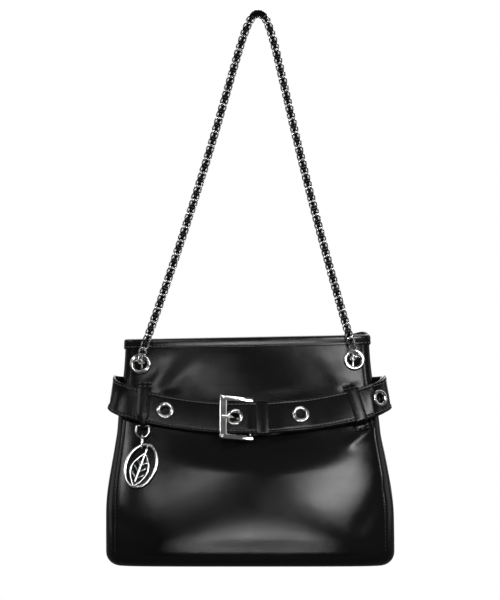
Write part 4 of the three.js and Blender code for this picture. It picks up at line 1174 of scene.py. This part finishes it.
def ring_carrier():
    angle = front_angle(-RING_CARRIER, BELT_FRONT_HEIGHT + BELT_SIDE_RISE / 2)
    matrix = upright_frame(angle)
    slope = math.acos(min(1.0, float(belt_frame(angle)[:3, 0] @ matrix[:3, 0])))
    room = CARRIER_WIDTH / 2 * math.tan(slope) + SEAT_GAP
    bend = RING_WIRE / 2 + SEAT_GAP + CARRIER_THICK / 2
    bar_up = -BELT_WIDTH / 2 - room - bend
    bar_out = 6 * SEAT_GAP + CARRIER_THICK / 2 + bend + wall_relief(matrix, angle, bar_up - bend)
    over = belt_middle(angle, 0) + BELT_THICK / 2 + CARRIER_SEAT + room
    neck = CARRIER_NECK / 2
    wrap = [(bar_up - bend * math.sin(math.radians(d)), bar_out + bend * math.cos(math.radians(d)), neck)
            for d in np.linspace(30, 180, 8)]
    behind = CARRIER_TAB / 2 - BELT_WIDTH / 2
    stops = carrier_top(matrix, angle, over, BELT_EDGE + room) + [
        (CARRIER_TAB - BELT_WIDTH / 2, over, CARRIER_WIDTH / 2),
        (-BELT_WIDTH / 2 - room, over - SEAT_GAP, neck),
        *wrap, (behind, wall_relief(matrix, angle, behind) + CARRIER_SEAT + SEAT_GAP, neck)]
    return carrier_band(matrix, stops), (matrix, stops)


def carrier_stitches(matrix, stops, ends):
    """A small box of stitches on each sewn tab."""
    rows = []
    for end in ends:
        (up0, out0, half), (up1, out1, _) = stops[end[0]], stops[end[1]]
        lift = CARRIER_THICK / 2 + 0.15
        for share in (0.2, 0.75):
            up, out = up0 + (up1 - up0) * share, out0 + (out1 - out0) * share
            line = [(x, up, out + lift) for x in np.linspace(1.2 - half, half - 1.2, 5)]
            rows.append((at(matrix, line), matrix[:3, 2], False))
    return rows


def belt_keeper():
    angle = front_angle(BAR_PLACE + KEEPER_PLACE, BELT_FRONT_HEIGHT)
    room = SEAT_GAP + KEEPER_THICK / 2
    low = belt_middle(angle, start_lift(angle)) - BELT_THICK / 2 - room
    high = tongue_middle(angle) + BELT_THICK / 2 + room
    edge = BELT_WIDTH / 2 + room
    corners = [(0, -edge, low), (0, edge, low), (0, edge, high), (0, -edge, high)]
    path = bend_corners(corners, 1.3, 4, ring=True)
    section = rounded_box(KEEPER_WIDTH / 2, KEEPER_THICK / 2, 0.4, 2)
    points, faces = sweep(path[apart(path)], (1, 0, 0), section, ring=True)
    return solid("keeper_loop", at(belt_frame(angle), points), faces)


# Metal

def eyelet_profile(low, high, outer, inner, dome, back):
    """A flange that swells to a dome, a smooth throat and a curled rim behind."""
    rim = 0.4
    foot = high - dome
    neck = inner + 0.7
    crown = (inner + outer) / 2 + 0.4
    front = [(crown + (outer - crown) * math.cos(t), foot + 0.15 + (dome - 0.15) * math.sin(t))
             for t in np.linspace(0, math.pi / 2, 7)]
    throat = [(crown - (crown - inner) * math.sin(t), foot - 0.5 + (dome + 0.5) * math.cos(t))
              for t in np.linspace(0, math.pi / 2, 7)[1:]]
    curl = [(inner, low + 0.5), (inner + 0.15, low + 0.1), (inner + 0.6, low), (back - 0.3, low),
            (back, low + rim / 2), (back - 0.2, low + rim), (neck, low + rim)]
    return [(outer - 0.25, foot)] + front + throat + curl + [(neck, foot)]


def eyelet(name, node, sizes):
    matrix, low, high = turned_frame(node)
    return solid(name, *revolve(eyelet_profile(low, high, **sizes), matrix))


def link_shape(half_length, half_width, wire, start_turn, end_turn, power, steps=16, sides=6):
    turns = np.linspace(0, 2 * math.pi, steps, endpoint=False) + math.pi / steps
    cos, sin = np.cos(turns), np.sin(turns)
    swell = (np.abs(cos) ** power + np.abs(sin) ** power) ** (-1 / power)
    along, side = swell * cos, swell * sin
    twist = np.radians(start_turn + (end_turn - start_turn) * (along + 1) / 2)
    reach = half_width * side
    path = np.stack([reach * np.cos(twist), reach * np.sin(twist), half_length * along], -1)
    face = np.stack([-np.sin(twist), np.cos(twist), np.zeros_like(twist)], -1)
    return sweep(path, face, circle(wire / 2, sides), ring=True)


def run_points(word):
    side, (end_x, end_z) = RUNS[word]
    lean = math.radians(RUN_LEAN[word])
    down = np.array([side * math.sin(lean), 0, -math.cos(lean)])
    end = np.array([end_x, 0, end_z])
    top = np.array([0, 0, LINK_WIDTH / 2])
    handles = [top, top + (side * APEX_HANDLE, 0, 0), end - down * RUN_HANDLE, end]
    share = np.linspace(0, 1, 4001)[:, None]
    curve = ((1 - share) ** 3 * handles[0] + 3 * share * (1 - share) ** 2 * handles[1]
             + 3 * share ** 2 * (1 - share) * handles[2] + share ** 3 * handles[3])
    ways = ways_along(curve)
    count = round(ways[-1] / LINK_PITCH)
    return curve, ways, count, ways[-1] / count


def run_at(curve, ways, way):
    way = np.clip(way, 0, ways[-1])
    return np.stack([np.interp(way, ways, curve[:, i]) for i in range(3)], -1)


def chain_run(word):
    curve, ways, count, pitch = run_points(word)
    line = np.linspace(0.5 * pitch - RUN_SHIFT, (count - 0.5) * pitch - RUN_SHIFT, 4 * (count - 1) + 1)
    row = row_object(f"chain_{word}", [(run_at(curve, ways, line), (0, 1, 0), False)])
    half_length = (pitch + WIRE - LINK_FUSE) / 2
    half_width = (LINK_WIDTH - WIRE) / 2
    item = solid("link", *link_shape(half_length, half_width, WIRE, -45, 45, 3.0))
    last = solid("last link", *link_shape(half_length, half_width, WIRE, -45, -90, 3.0))
    tree = bpy.data.node_groups.get("Link run") or row_tree("Link run", by_count=True)
    set_row(row, tree, {"Item": item, "Last item": last, "Count": count, "Finish": finish_of("nickel")})
    remove_object(item)
    remove_object(last)
    return row


def lace_half(word):
    """The lace down one run: before the first two meetings of links, then behind and before in turn."""
    curve, ways, count, pitch = run_points(word)
    meetings = np.linspace(0, count - BARE_LINKS, (count - BARE_LINKS) * 8 + 1)
    stations = np.array([-1 if m == 0 or m % 2 else 1 for m in range(count - BARE_LINKS + 1)], float)
    whole = np.minimum(meetings.astype(int), len(stations) - 2)
    share = meetings - whole
    reach = stations[whole] + (stations[whole + 1] - stations[whole]) * (0.5 - 0.5 * np.cos(math.pi * share))
    way = meetings * pitch - RUN_SHIFT
    points = run_at(curve, ways, way)
    tangent = unit(run_at(curve, ways, way + 0.5) - run_at(curve, ways, way - 0.5))
    points[:, 1] += LACE_REACH * reach
    wide = unit(np.cross((0, 1, 0), tangent))
    return points, wide, np.abs(reach)


def strap_lace():
    sewing = bpy.context.scene.bag_sewing
    left, left_wide, left_reach = lace_half("left")
    right, right_wide, right_reach = lace_half("right")
    path = np.concatenate([left[::-1], right[1:]])
    wide = np.concatenate([-left_wide[::-1], right_wide[1:]])
    reach = np.concatenate([left_reach[::-1], right_reach[1:]])
    widths = LACE_NARROW + (sewing.lace_width * 1000 - LACE_NARROW) * reach * reach
    section = [rounded_box(width / 2, LACE_THICK / 2, 0.45, 2) for width in widths]
    points, faces = sweep(path, wide, section)
    return solid("woven_lace", points, faces)


def tilted_buckle_frame():
    """The buckle's axes: X right along the belt, Y up the bar, Z out of the plate."""
    up = BAR_FRAME[:3, 1]
    _, (out, _, _) = main_axes(node_points("buckle_frame"))
    out = unit(out - (out @ up) * up)
    if out[1] > 0:
        out = -out
    return axes(np.cross(up, out), up, out, BAR_FRAME[:3, 3])


def buckle_frame():
    """A polished frame, dished towards its opening, with rounded corners and bored arms."""
    matrix = tilted_buckle_frame()
    inner = BELT_WIDTH / 2 + BUCKLE_ROOM
    outer = inner + BUCKLE_ARM
    back = [(1, -0.8), (0.94, -0.95), (0.88, -1), (0.12, -1), (0.06, -0.95), (0, -0.8)]
    plain = np.array([(0, 0.6), (0.02, 0.68), (0.16, 0.98), (0.2, 1), (0.8, 1), (0.84, 0.98), (0.98, 0.68),
                      (1, 0.6)] + back)
    dished = np.array([(0, 0.46), (0.02, 0.54), (0.2, 0.97), (0.24, 1), (0.78, 0.66), (0.82, 0.6),
                       (0.98, 0.16), (1, 0.06)] + back)
    rows = [(BUCKLE_HEEL, 0, 0.8), (BUCKLE_HEEL - 0.5, 0, 1), (-4.5, 0, 1), (-11, 1, 1)]
    stations = [((x, outer), (x, inner), dish, tall) for x, dish, tall in rows]
    for turn in np.linspace(0, math.pi / 2, 6):
        left, rise = 1 - math.sin(turn), 1 - math.cos(turn)
        stations.append(((-BUCKLE_REACH + 1.8 * left, outer - 1.8 * rise),
                         (-BUCKLE_REACH + BUCKLE_FRONT + 0.7 * left, inner - 0.7 * rise), 1, 1))
    stations += [((o[0], -o[1]), (i[0], -i[1]), dish, tall) for o, i, dish, tall in stations[::-1]]
    rings = []
    for rim, mouth, dish, tall in stations:
        share, height = (plain + dish * (dished - plain)).T
        flat = np.array(rim) + share[:, None] * (np.array(mouth) - np.array(rim))
        rings.append(np.c_[flat, height * tall * BUCKLE_THICK / 2])
    points = at(matrix, np.concatenate(rings))
    piece = solid("buckle_plate", points, sweep_faces(len(rings), len(plain), False))
    across = axes(BAR_FRAME[:3, 2], BAR_FRAME[:3, 0], BAR_FRAME[:3, 1], BAR_FRAME[:3, 3])
    cut_holes(piece, [drum(across, PIN_BORE, -outer - 1, outer + 1, 24)])
    piece.data.set_sharp_from_angle(angle=math.radians(16))
    return piece


def buckle_bar():
    half = BELT_WIDTH / 2 + BUCKLE_ROOM + BUCKLE_ARM
    ends = at(BAR_FRAME, [(0, y, 0) for y in np.linspace(-half, half, 5)])
    points, faces = dome_ended_bar(ends, BAR_FRAME[:3, 2], circle(PIN_RADIUS, 20), 0.5)
    return solid("buckle_pin", points, faces)


def buckle_prong():
    """A rod with an eye on the pin, through the belt's eyelet and over the front of the frame."""
    to_bar = np.linalg.inv(BAR_FRAME)
    local = to_bar @ tilted_buckle_frame()
    rest = BUCKLE_THICK / 2 + 0.6 + PRONG_HALF
    seat, low, _ = turned_frame("belt_eyelet_2")
    hole_x, _, hole_out = at(to_bar, at(seat, (0, 0, low + 1.7)))
    stops = (BUCKLE_FRONT + PRONG_HALF, BUCKLE_FRONT / 2, 0)
    front = [local[:3, :3] @ np.array([stop - BUCKLE_REACH, 0, rest]) for stop in stops]
    knots = [(-1.85, 0, 0), (-7.8, 0, 0), (hole_x + PRONG_HALF, 0, hole_out - 2 * PRONG_HALF),
             (hole_x - PRONG_HALF, 0, hole_out + PRONG_HALF), *[(p[0], 0, p[2]) for p in front]]
    path, end_scale = capsule_path(smooth_curve(knots, 10), 0.9)
    scale = end_scale * np.interp(np.linspace(0, 1, len(path)), (0, 0.75, 1), (1, 1, 0.85))
    rod = sweep(path, (0, 1, 0), [rounded_box(PRONG_HALF * s, PRONG_HALF * s, 0.75 * s) for s in scale])
    half_eye = [(PIN_BORE, 1.8), (1.6, 2), (2.1, 2), (2.35, 1.75)]
    on_pin = axes((0, 0, 1), (1, 0, 0), (0, 1, 0), (0, 0, 0))
    eye = revolve([(r, -y) for r, y in half_eye] + half_eye[::-1], on_pin, 32)
    points, faces = join_parts([rod, eye])
    return solid("prong", at(BAR_FRAME, points), faces)


def smooth_curve(knots, steps):
    """A curve through all knots, with its speed taken from their spacing."""
    knots = np.asarray(knots, float)
    padded = np.concatenate([[2 * knots[0] - knots[1]], knots, [2 * knots[-1] - knots[-2]]])
    times = np.r_[0, np.cumsum(np.sqrt(np.linalg.norm(np.diff(padded, axis=0), axis=1)))]
    points = []
    for i in range(1, len(padded) - 2):
        p, t = padded[i - 1:i + 3], times[i - 1:i + 3]
        for time in np.linspace(t[1], t[2], steps, endpoint=False):
            a = [((t[k + 1] - time) * p[k] + (time - t[k]) * p[k + 1]) / (t[k + 1] - t[k]) for k in range(3)]
            b = [((t[k + 2] - time) * a[k] + (time - t[k]) * a[k + 1]) / (t[k + 2] - t[k]) for k in range(2)]
            points.append(((t[2] - time) * b[0] + (time - t[1]) * b[1]) / (t[2] - t[1]))
    return np.array(points + [knots[-1]])


def ring_frame():
    """X along the D-ring's bar, Y up, Z out of the ring."""
    right = -unit(np.array(JOINTS["ring_lift"]["axis"], float))
    out = unit(np.array(JOINTS["charm_swing"]["axis"], float))
    return axes(right, np.cross(out, right), out, np.array(JOINTS["ring_lift"]["pos_m"], float) * 1000)


def d_ring():
    half = (RING_WIDTH - RING_WIRE) / 2
    bow = [(half * math.cos(t), half - RING_DROP - half * math.sin(t), 0)
           for t in np.linspace(0, math.pi, 24)]
    corners = bend_corners([(half, -3, 0), (half, 0, 0), (-half, 0, 0), (-half, -3, 0)], 1.4, 5)
    path = np.array(bow + list(corners[::-1]))
    points, faces = sweep(path, (0, 0, 1), circle(RING_WIRE / 2, 14), ring=True)
    return solid("d_ring", at(ring_frame(), points), faces)


def charm_link():
    middle = (CHARM_LINK_TOP + CHARM_LINK_FOOT) / 2
    points, faces = link_shape(CHARM_LINK_LENGTH / 2, 2.7, CHARM_LINK_WIRE, 90, 90, 2.6, steps=36, sides=12)
    points = np.stack([points[:, 0], middle - points[:, 2], points[:, 1]], -1)
    return solid("charm_loop", at(ring_frame(), points), faces)


def charm():
    """An oval rim round an open leaf with a midrib and side veins."""
    out = (0, 0, 1)
    half_x, half_y = (CHARM_WIDTH - CHARM_RIM) / 2, (CHARM_LENGTH - CHARM_RIM) / 2
    turns = np.linspace(0, 2 * math.pi, 96, endpoint=False)
    oval = np.stack([half_x * np.cos(turns), half_y * np.sin(turns), 0 * turns], -1)
    parts = [sweep(oval, out, rounded_box(CHARM_THICK / 2, CHARM_RIM / 2, 0.8), ring=True)]
    low, high = -half_y, CHARM_LENGTH / 2 - CHARM_RIM - 7
    share = np.linspace(0.015, 0.985, 30)
    side = np.stack([LEAF_HALF * np.sin(math.pi * share), low + (high - low) * share, 0 * share], -1)
    vein = rounded_box(CHARM_THICK / 2 * 0.95, 0.95, 0.6)
    fine = rounded_box(CHARM_THICK / 2 * 0.8, 0.75, 0.5)
    parts.append(sweep(np.concatenate([side, side[::-1] * (-1, 1, 1)]), out, vein, ring=True))
    parts.append(sweep([(0, y, 0) for y in np.linspace(-half_y, half_y, 9)], out, vein))
    share = np.linspace(0, 1, 7)
    across = VEIN_LENGTH * share * math.cos(math.radians(40))
    rise = VEIN_LENGTH * share * np.sin(np.radians(40 + 8 * share))
    for place in (-0.7, -0.2, 0.3):
        start = (low + high) / 2 + place * high
        for way in (-1, 1):
            parts.append(sweep(np.stack([way * across, start + rise, 0 * share], -1), out, fine))
    points, faces = join_parts(parts)
    hold_turn = math.pi / 2 + math.atan(half_y / half_x * math.tan(CHARM_LEAN))
    cos, sin = math.cos(-CHARM_LEAN), math.sin(-CHARM_LEAN)
    spin = np.array([[cos, -sin, 0], [sin, cos, 0], [0, 0, 1]])
    held = spin @ np.array([half_x * math.cos(hold_turn), half_y * math.sin(hold_turn), 0])
    hold = CHARM_LINK_FOOT + CHARM_HOLD + CHARM_RIM / 2
    points = points @ spin.T + np.array([-held[0], hold - held[1], 0])
    return solid("leaf_charm", at(ring_frame(), points), faces)


def through_link(word):
    """The link through a strap eyelet, a little slimmer than the chain's wire, to stay clear of it."""
    points = node_points(f"through_link_{word}")
    matrix, _, _ = turned_frame(f"strap_eyelet_{word}")
    local = (points - matrix[:3, 3]) @ matrix[:3, :3]
    low, high = local.min(0), local.max(0)
    half_length, half_width = (high[2] - low[2] - WIRE) / 2, (THROUGH_LINK_WIDTH - WIRE) / 2
    shape, faces = link_shape(half_length, half_width, WIRE - 0.15, 0, 0, 7.0, steps=48, sides=12)
    return solid(f"eyelet_link_{word}", at(matrix, shape + (low + high) / 2), faces)


def anchor_bar(word):
    middle, (across, _, axis) = main_axes(node_points(f"anchor_bar_{word}"))
    ends = [middle + axis * way for way in np.linspace(-ANCHOR_HALF, ANCHOR_HALF, 7)]
    shape, faces = dome_ended_bar(ends, across, circle(ANCHOR_RADIUS, 16), 1.2)
    return solid(f"anchor_{word}", shape, faces)


def washer(word):
    matrix, low, high = turned_frame(f"strap_eyelet_washer_{word}")
    flat = WASHER_OUTER - 0.3
    profile = [(WASHER_INNER, low), (flat, low), (WASHER_OUTER, low + 0.25), (WASHER_OUTER, high - 0.25),
               (flat, high), (WASHER_INNER, high)]
    return solid(f"washer_{word}", *revolve(profile, matrix))


def snap_half(word, outward, stud):
    matrix, low, high = turned_frame(f"snap_{word}", outward)
    points = node_points(f"snap_{word}")
    local = (points - matrix[:3, 3]) @ matrix[:3, :3]
    middle = (local.min(0) + local.max(0)) / 2
    matrix = moved(matrix, middle[0], middle[1], 0)
    face = low + 2.4 if stud else high
    shape = [(0.01, low), (SNAP_RADIUS - 0.4, low), (SNAP_RADIUS, low + 0.4), (SNAP_RADIUS, face - 0.8),
             (SNAP_RADIUS - 0.7, face)]
    if stud:
        shape += [(STUD_RADIUS + 0.3, face), (STUD_RADIUS, face + 0.3), (STUD_RADIUS, high - 0.5),
                  (STUD_RADIUS - 0.5, high), (0.01, high)]
    else:
        shape += [(SOCKET_RADIUS + 0.4, face), (SOCKET_RADIUS, face - 0.4), (SOCKET_RADIUS, low + 0.75),
                  (0.01, low + 0.75)]
    return solid(f"snap_{word}_cap", *revolve(shape, matrix, 40))


# User settings

class BagLook(bpy.types.PropertyGroup):
    """Colours and gloss of the leather and the metal."""

    leather_colour: FloatVectorProperty(name="Leather", description="Colour of the leather", subtype="COLOR",
                                        size=3, min=0, max=1, default=(0.003, 0.003, 0.0033))
    leather_gloss: FloatProperty(name="Leather roughness", description="Mean roughness of the leather",
                                 subtype="FACTOR", min=0.05, max=1, default=0.18)
    nickel_colour: FloatVectorProperty(name="Nickel", description="Colour of the metal", subtype="COLOR",
                                       size=3, min=0, max=1, default=(0.78, 0.78, 0.77))
    nickel_gloss: FloatProperty(name="Nickel roughness", description="Mean roughness of the metal",
                                subtype="FACTOR", min=0.02, max=1, default=0.11)
    # Grey thread: the dark thread painted lighter, a painted glint that makes each stitch show as a light dot
    thread_and_glint_colour: FloatVectorProperty(name="Thread", description="Colour of the thread", subtype="COLOR",
                                       size=3, min=0, max=1, default=(0.14, 0.14, 0.145))
    lining_colour: FloatVectorProperty(name="Lining", description="Colour of the lining", subtype="COLOR",
                                       size=3, min=0, max=1, default=(0.03, 0.03, 0.033))


class BagSewing(bpy.types.PropertyGroup):
    """Stitches, lace and folds."""

    stitch_pitch: FloatProperty(name="Stitch pitch", description="From one stitch to the next", unit="LENGTH",
                                min=0.001, max=0.02, default=0.0038)
    thread_width: FloatProperty(name="Thread", description="Width of the thread", unit="LENGTH",
                                min=0.0002, max=0.003, default=0.0008)
    lace_width: FloatProperty(name="Lace width", description="Width of the lace where it lies over the chain",
                              unit="LENGTH", min=0.002, max=0.01, default=0.0068)
    fold_depth: FloatProperty(name="Fold depth", description="How deep the folds of the body are",
                              subtype="FACTOR", min=0, max=2, default=1.0)


class BagStage(bpy.types.PropertyGroup):
    """Light and background."""

    key_power: FloatProperty(name="Key light", description="Power of the right softbox", unit="POWER",
                             min=0, max=500, default=1.0)
    fill_power: FloatProperty(name="Fill light", description="Power of the left softbox", unit="POWER",
                              min=0, max=500, default=0.19)
    low_power: FloatProperty(name="Low light", description="Power of the low strip in front", unit="POWER",
                             min=0, max=500, default=0.68)
    high_power: FloatProperty(name="High light", description="Power of the small softbox high at the left",
                              unit="POWER", min=0, max=500, default=2.8)
    side_power: FloatProperty(name="Side light", description="Power of each side softbox", unit="POWER",
                              min=0, max=500, default=2.5)
    top_power: FloatProperty(name="Top light", description="Power of the softbox overhead", unit="POWER",
                             min=0, max=500, default=18.0)
    lens_distance: FloatProperty(name="Camera distance", description="From the camera to the strap's plane",
                                 unit="LENGTH", min=1, max=20, default=4.0)
    backdrop_width: FloatProperty(name="Backdrop", description="Width of the pale paper behind the bag",
                                  unit="LENGTH", min=0.1, max=8, default=1.8)


# Operators

class BAG_OT_body(bpy.types.Operator):
    """Make the leather body with its facing, lining and rolled mouth"""

    bl_idname = "bag.body"
    bl_label = "Body"

    def execute(self, context):
        leather_piece(body_shell(), "body", "front_panel", "back_panel", "side_gusset_left",
                      "side_gusset_right", "base_panel")
        finish_piece(facing_band(), finish_of("inner"), "inner_leather", "bag", "facing_front", "facing_back")
        finish_piece(lining_sack(), finish_of("lining"), "lining_cloth", "bag", "lining")
        leather_piece(mouth_binding(), "edge", "mouth_binding")
        board = frame["nodes"]["base_board"].data
        board.materials.clear()
        board.materials.append(finish_of("board"))
        return {"FINISHED"}


class BAG_OT_body_stitches(bpy.types.Operator):
    """Sew the mouth and the gusset seams"""

    bl_idname = "bag.body_stitches"
    bl_label = "Body stitches"

    def execute(self, context):
        angles = np.linspace(0, 2 * math.pi, 360, endpoint=False)
        way = TOP_WAY - BINDING_DEPTH + BINDING_STITCH
        mouth = wall_row(angles, np.full(360, way), FACING_GAP + BINDING - 0.15)
        sew("mouth_stitches", [(*mouth, True)], "thread")
        rows = []
        ways = np.linspace(ROUNDING_WAY + 2, TOP_WAY - 12, 150)
        for turn, seam in zip(SEAM_TURNS, (-1, 1, -1, 1)):
            rows.append((*wall_row(np.full(150, turn + 0.024 * seam), ways, 0.15), False))
        sew("seam_stitches", rows, "seam thread")
        return {"FINISHED"}


class BAG_OT_strap(bpy.types.Operator):
    """Make the chain of twisted links, the lace woven through it and the links that hold it"""

    bl_idname = "bag.strap"
    bl_label = "Chain strap"

    def execute(self, context):
        for word in RUNS:
            nickel_piece(chain_run(word), "strap", f"strap_chain_{word}")
            nickel_piece(through_link(word), "bag", f"through_link_{word}")
            nickel_piece(anchor_bar(word), "bag", f"anchor_bar_{word}")
        finish_piece(strap_lace(), finish_of("edge"), "gloss_leather", "strap", "strap_lace")
        return {"FINISHED"}


class BAG_OT_eyelets(bpy.types.Operator):
    """Make the strap eyelets with their washers, the belt eyelets and the snap"""

    bl_idname = "bag.eyelets"
    bl_label = "Eyelets and snap"

    def execute(self, context):
        for word in RUNS:
            node = f"strap_eyelet_{word}"
            nickel_piece(eyelet(f"big_eyelet_{word}", node, STRAP_EYELET), "bag", node)
            nickel_piece(washer(word), "bag", f"strap_eyelet_washer_{word}")
        for number in BELT_EYELETS:
            node = f"belt_eyelet_{number}"
            nickel_piece(eyelet(f"small_eyelet_{number}", node, BELT_EYELET), "bag", node)
        nickel_piece(snap_half("front", (0, 1, 0), True), "bag", "snap_front")
        nickel_piece(snap_half("back", (0, -1, 0), False), "bag", "snap_back")
        return {"FINISHED"}


class BAG_OT_belt(bpy.types.Operator):
    """Make the belt, its keeper and carriers, and sew them"""

    bl_idname = "bag.belt"
    bl_label = "Belt"

    def execute(self, context):
        leather_piece(belt_strap(), "belt", "belt_strap")
        leather_piece(belt_keeper(), "belt", "belt_keeper")
        stitches = belt_stitch_rows()
        shape, (matrix, stops) = ring_carrier()
        leather_piece(solid("carrier_left", *shape), "belt", "belt_carrier_left")
        stitches += carrier_stitches(matrix, stops, [(0, 1)])
        right = front_angle(STRAP_EYELET_SIDE, BELT_FRONT_HEIGHT + BELT_SIDE_RISE / 2)
        places = [("belt_carrier_right", right, tongue_middle(right) + BELT_THICK / 2)]
        for word, side in (("left", -1), ("right", 1)):
            angle = -front_angle(side * BACK_CARRIER, BELT_FRONT_HEIGHT + BELT_BACK_RISE)
            places.append((f"belt_carrier_back_{word}", angle, belt_middle(angle, 0) + BELT_THICK / 2))
        for node, angle, face in places:
            shape, (matrix, stops) = plain_carrier(angle, face)
            leather_piece(solid(node.replace("belt_carrier", "loop"), *shape), "belt", node)
            stitches += carrier_stitches(matrix, stops, [(0, 1), (7, 6)])
        sew("belt_stitches", stitches, "thread")
        return {"FINISHED"}


class BAG_OT_buckle(bpy.types.Operator):
    """Make the buckle's plate, pin and prong"""

    bl_idname = "bag.buckle"
    bl_label = "Buckle"

    def execute(self, context):
        nickel_piece(buckle_frame(), "buckle", "buckle_frame")
        nickel_piece(buckle_bar(), "buckle", "buckle_bar")
        nickel_piece(buckle_prong(), "prong", "buckle_prong")
        return {"FINISHED"}


class BAG_OT_charm(bpy.types.Operator):
    """Make the D-ring, the link and the leaf charm"""

    bl_idname = "bag.charm"
    bl_label = "Charm"

    def execute(self, context):
        nickel_piece(d_ring(), "charm_ring", "charm_d_ring")
        nickel_piece(charm_link(), "charm", "charm_link")
        nickel_piece(charm(), "charm", "charm")
        return {"FINISHED"}


def paper_material(name, colour, glow_strength):
    """Paper that shows one plain tone in reflections."""
    material, tree, shader = new_material(name)
    reflected = add_node(tree, "ShaderNodeLightPath").outputs["Is Glossy Ray"]
    grain = noise(tree, object_coords(tree), 900.0, 2.0)
    set_colour(tree, shader, grain, shade(colour, 0.97), colour)
    shader.inputs["Roughness"].default_value = 0.9
    glow = add_node(tree, "ShaderNodeEmission", {"Color": (1, 1, 1, 1), "Strength": glow_strength})
    mixed = add_node(tree, "ShaderNodeMixShader",
                     {0: reflected, 1: shader.outputs["BSDF"], 2: glow.outputs["Emission"]})
    tree.links.new(mixed.outputs["Shader"], tree.nodes["Material Output"].inputs["Surface"])
    return material


def paper_sheet(name, y, half, low, high, paper):
    """An upright sheet that only lights the bag and shows in reflections."""
    corners = [(-half, y, low), (half, y, low), (half, y, high), (-half, y, high)]
    sheet = new_object(name, corners, [(0, 1, 2, 3)])
    sheet.data.materials.append(paper)
    sheet.visible_camera = False


def softbox(name, azimuth, elevation, distance, width, height, power, roll=0.0):
    """An area light that faces the bag from an azimuth right of the front and an elevation."""
    a, e = math.radians(azimuth), math.radians(elevation)
    away = np.array([math.sin(a) * math.cos(e), -math.cos(a) * math.cos(e), math.sin(e)])
    lamp = bpy.data.lights.new(name, "AREA")
    lamp.shape = "RECTANGLE"
    lamp.size, lamp.size_y = width, height
    lamp.energy = power
    box = bpy.data.objects.new(name, lamp)
    back = unit(away)
    side = unit(np.cross((0, 0, 1), back)) if abs(back[2]) < 0.99 else np.array([1.0, 0, 0])
    rise = np.cross(back, side)
    cos, sin = math.cos(math.radians(roll)), math.sin(math.radians(roll))
    place = np.array(LIGHT_TARGET) + away * distance
    matrix = axes(side * cos + rise * sin, rise * cos - side * sin, back, place)
    box.matrix_world = [list(row) for row in matrix.T]
    box.visible_camera = False
    bpy.context.scene.collection.objects.link(box)
    return box


class BAG_OT_stage(bpy.types.Operator):
    """Set up the backdrop, the light and the camera"""

    bl_idname = "bag.stage"
    bl_label = "Stage"

    def execute(self, context):
        scene = context.scene
        stage = scene.bag_stage
        low, half = BAG[2] + 100, stage.backdrop_width * 500
        pale = paper_material("pale paper", (0.85, 0.85, 0.85), 1.0)
        paper_sheet("backdrop", 1800, half, low, low + 2 * half, pale)
        dark = paper_material("dark paper", (0.01, 0.01, 0.01), 0.0)
        paper_sheet("dark card", -1000 * (stage.lens_distance + 0.3), 1500, -1800, 1200, dark)
        # Azimuth, elevation, distance, width, height, power and roll
        softbox("right front", 29, 27, 0.49, 0.25, 0.07, stage.key_power, 34)
        softbox("left front", -20, 31, 0.53, 0.13, 0.05, stage.fill_power)
        softbox("left low", -18, 24, 0.47, 0.13, 0.06, stage.fill_power * 0.16, -52)
        softbox("low strip", 0.7, 2.9, 0.63, 0.2, 0.05, stage.low_power)
        softbox("left high", -52, 34, 1.6, 0.3, 0.3, stage.high_power)
        softbox("left side", -100, 25, 1.5, 0.8, 1.2, stage.side_power)
        softbox("right side", 100, 25, 1.5, 0.8, 1.2, stage.side_power)
        softbox("overhead", 0, 122, 1.3, 1.2, 1.3, stage.top_power)
        world = bpy.data.worlds.new("studio")
        world.use_nodes = True
        tree = world.node_tree
        seen = add_node(tree, "ShaderNodeLightPath").outputs["Is Camera Ray"]
        strength = spread(tree, seen, 0.1, 1.0)
        tree.nodes["Background"].inputs["Color"].default_value = (1, 1, 1, 1)
        tree.links.new(strength, tree.nodes["Background"].inputs["Strength"])
        scene.world = world
        lens = bpy.data.cameras.new("camera")
        lens.sensor_fit = "VERTICAL"
        lens.sensor_height = SENSOR_HEIGHT
        lens.lens = SENSOR_HEIGHT * stage.lens_distance / VIEW_HEIGHT
        lens.clip_end = 50
        camera = bpy.data.objects.new("camera", lens)
        camera.location = (VIEW_MIDDLE[0], -stage.lens_distance, VIEW_MIDDLE[1])
        camera.rotation_euler = (math.pi / 2, 0, 0)
        scene.collection.objects.link(camera)
        scene.camera = camera
        scene.view_settings.view_transform = "Standard"
        return {"FINISHED"}


class BAG_PT_panel(bpy.types.Panel):
    """Buttons and sizes of the bag"""

    bl_idname = "BAG_PT_panel"
    bl_label = "Belted shoulder bag"
    bl_space_type = "VIEW_3D"
    bl_region_type = "UI"
    bl_category = "Bag"

    def draw(self, context):
        for group in (context.scene.bag_look, context.scene.bag_sewing, context.scene.bag_stage):
            box = self.layout.box()
            for name in group.__annotations__:
                box.prop(group, name)
        for operator in OPERATORS:
            self.layout.operator(operator.bl_idname)


OPERATORS = (BAG_OT_stage, BAG_OT_body, BAG_OT_body_stitches, BAG_OT_strap, BAG_OT_eyelets, BAG_OT_belt,
             BAG_OT_buckle, BAG_OT_charm)
SETTINGS = {"bag_look": BagLook, "bag_sewing": BagSewing, "bag_stage": BagStage}


def register():
    for name, group in SETTINGS.items():
        bpy.utils.register_class(group)
        setattr(bpy.types.Scene, name, PointerProperty(type=group))
    for item in (*OPERATORS, BAG_PT_panel):
        bpy.utils.register_class(item)


def unregister():
    for item in reversed((*OPERATORS, BAG_PT_panel)):
        bpy.utils.unregister_class(item)
    for name, group in SETTINGS.items():
        delattr(bpy.types.Scene, name)
        bpy.utils.unregister_class(group)


def main():
    register()
    for name in ("stage", "body", "body_stitches", "strap", "eyelets", "belt", "buckle", "charm"):
        getattr(bpy.ops.bag, name)()


if __name__ == "__main__":
    main()
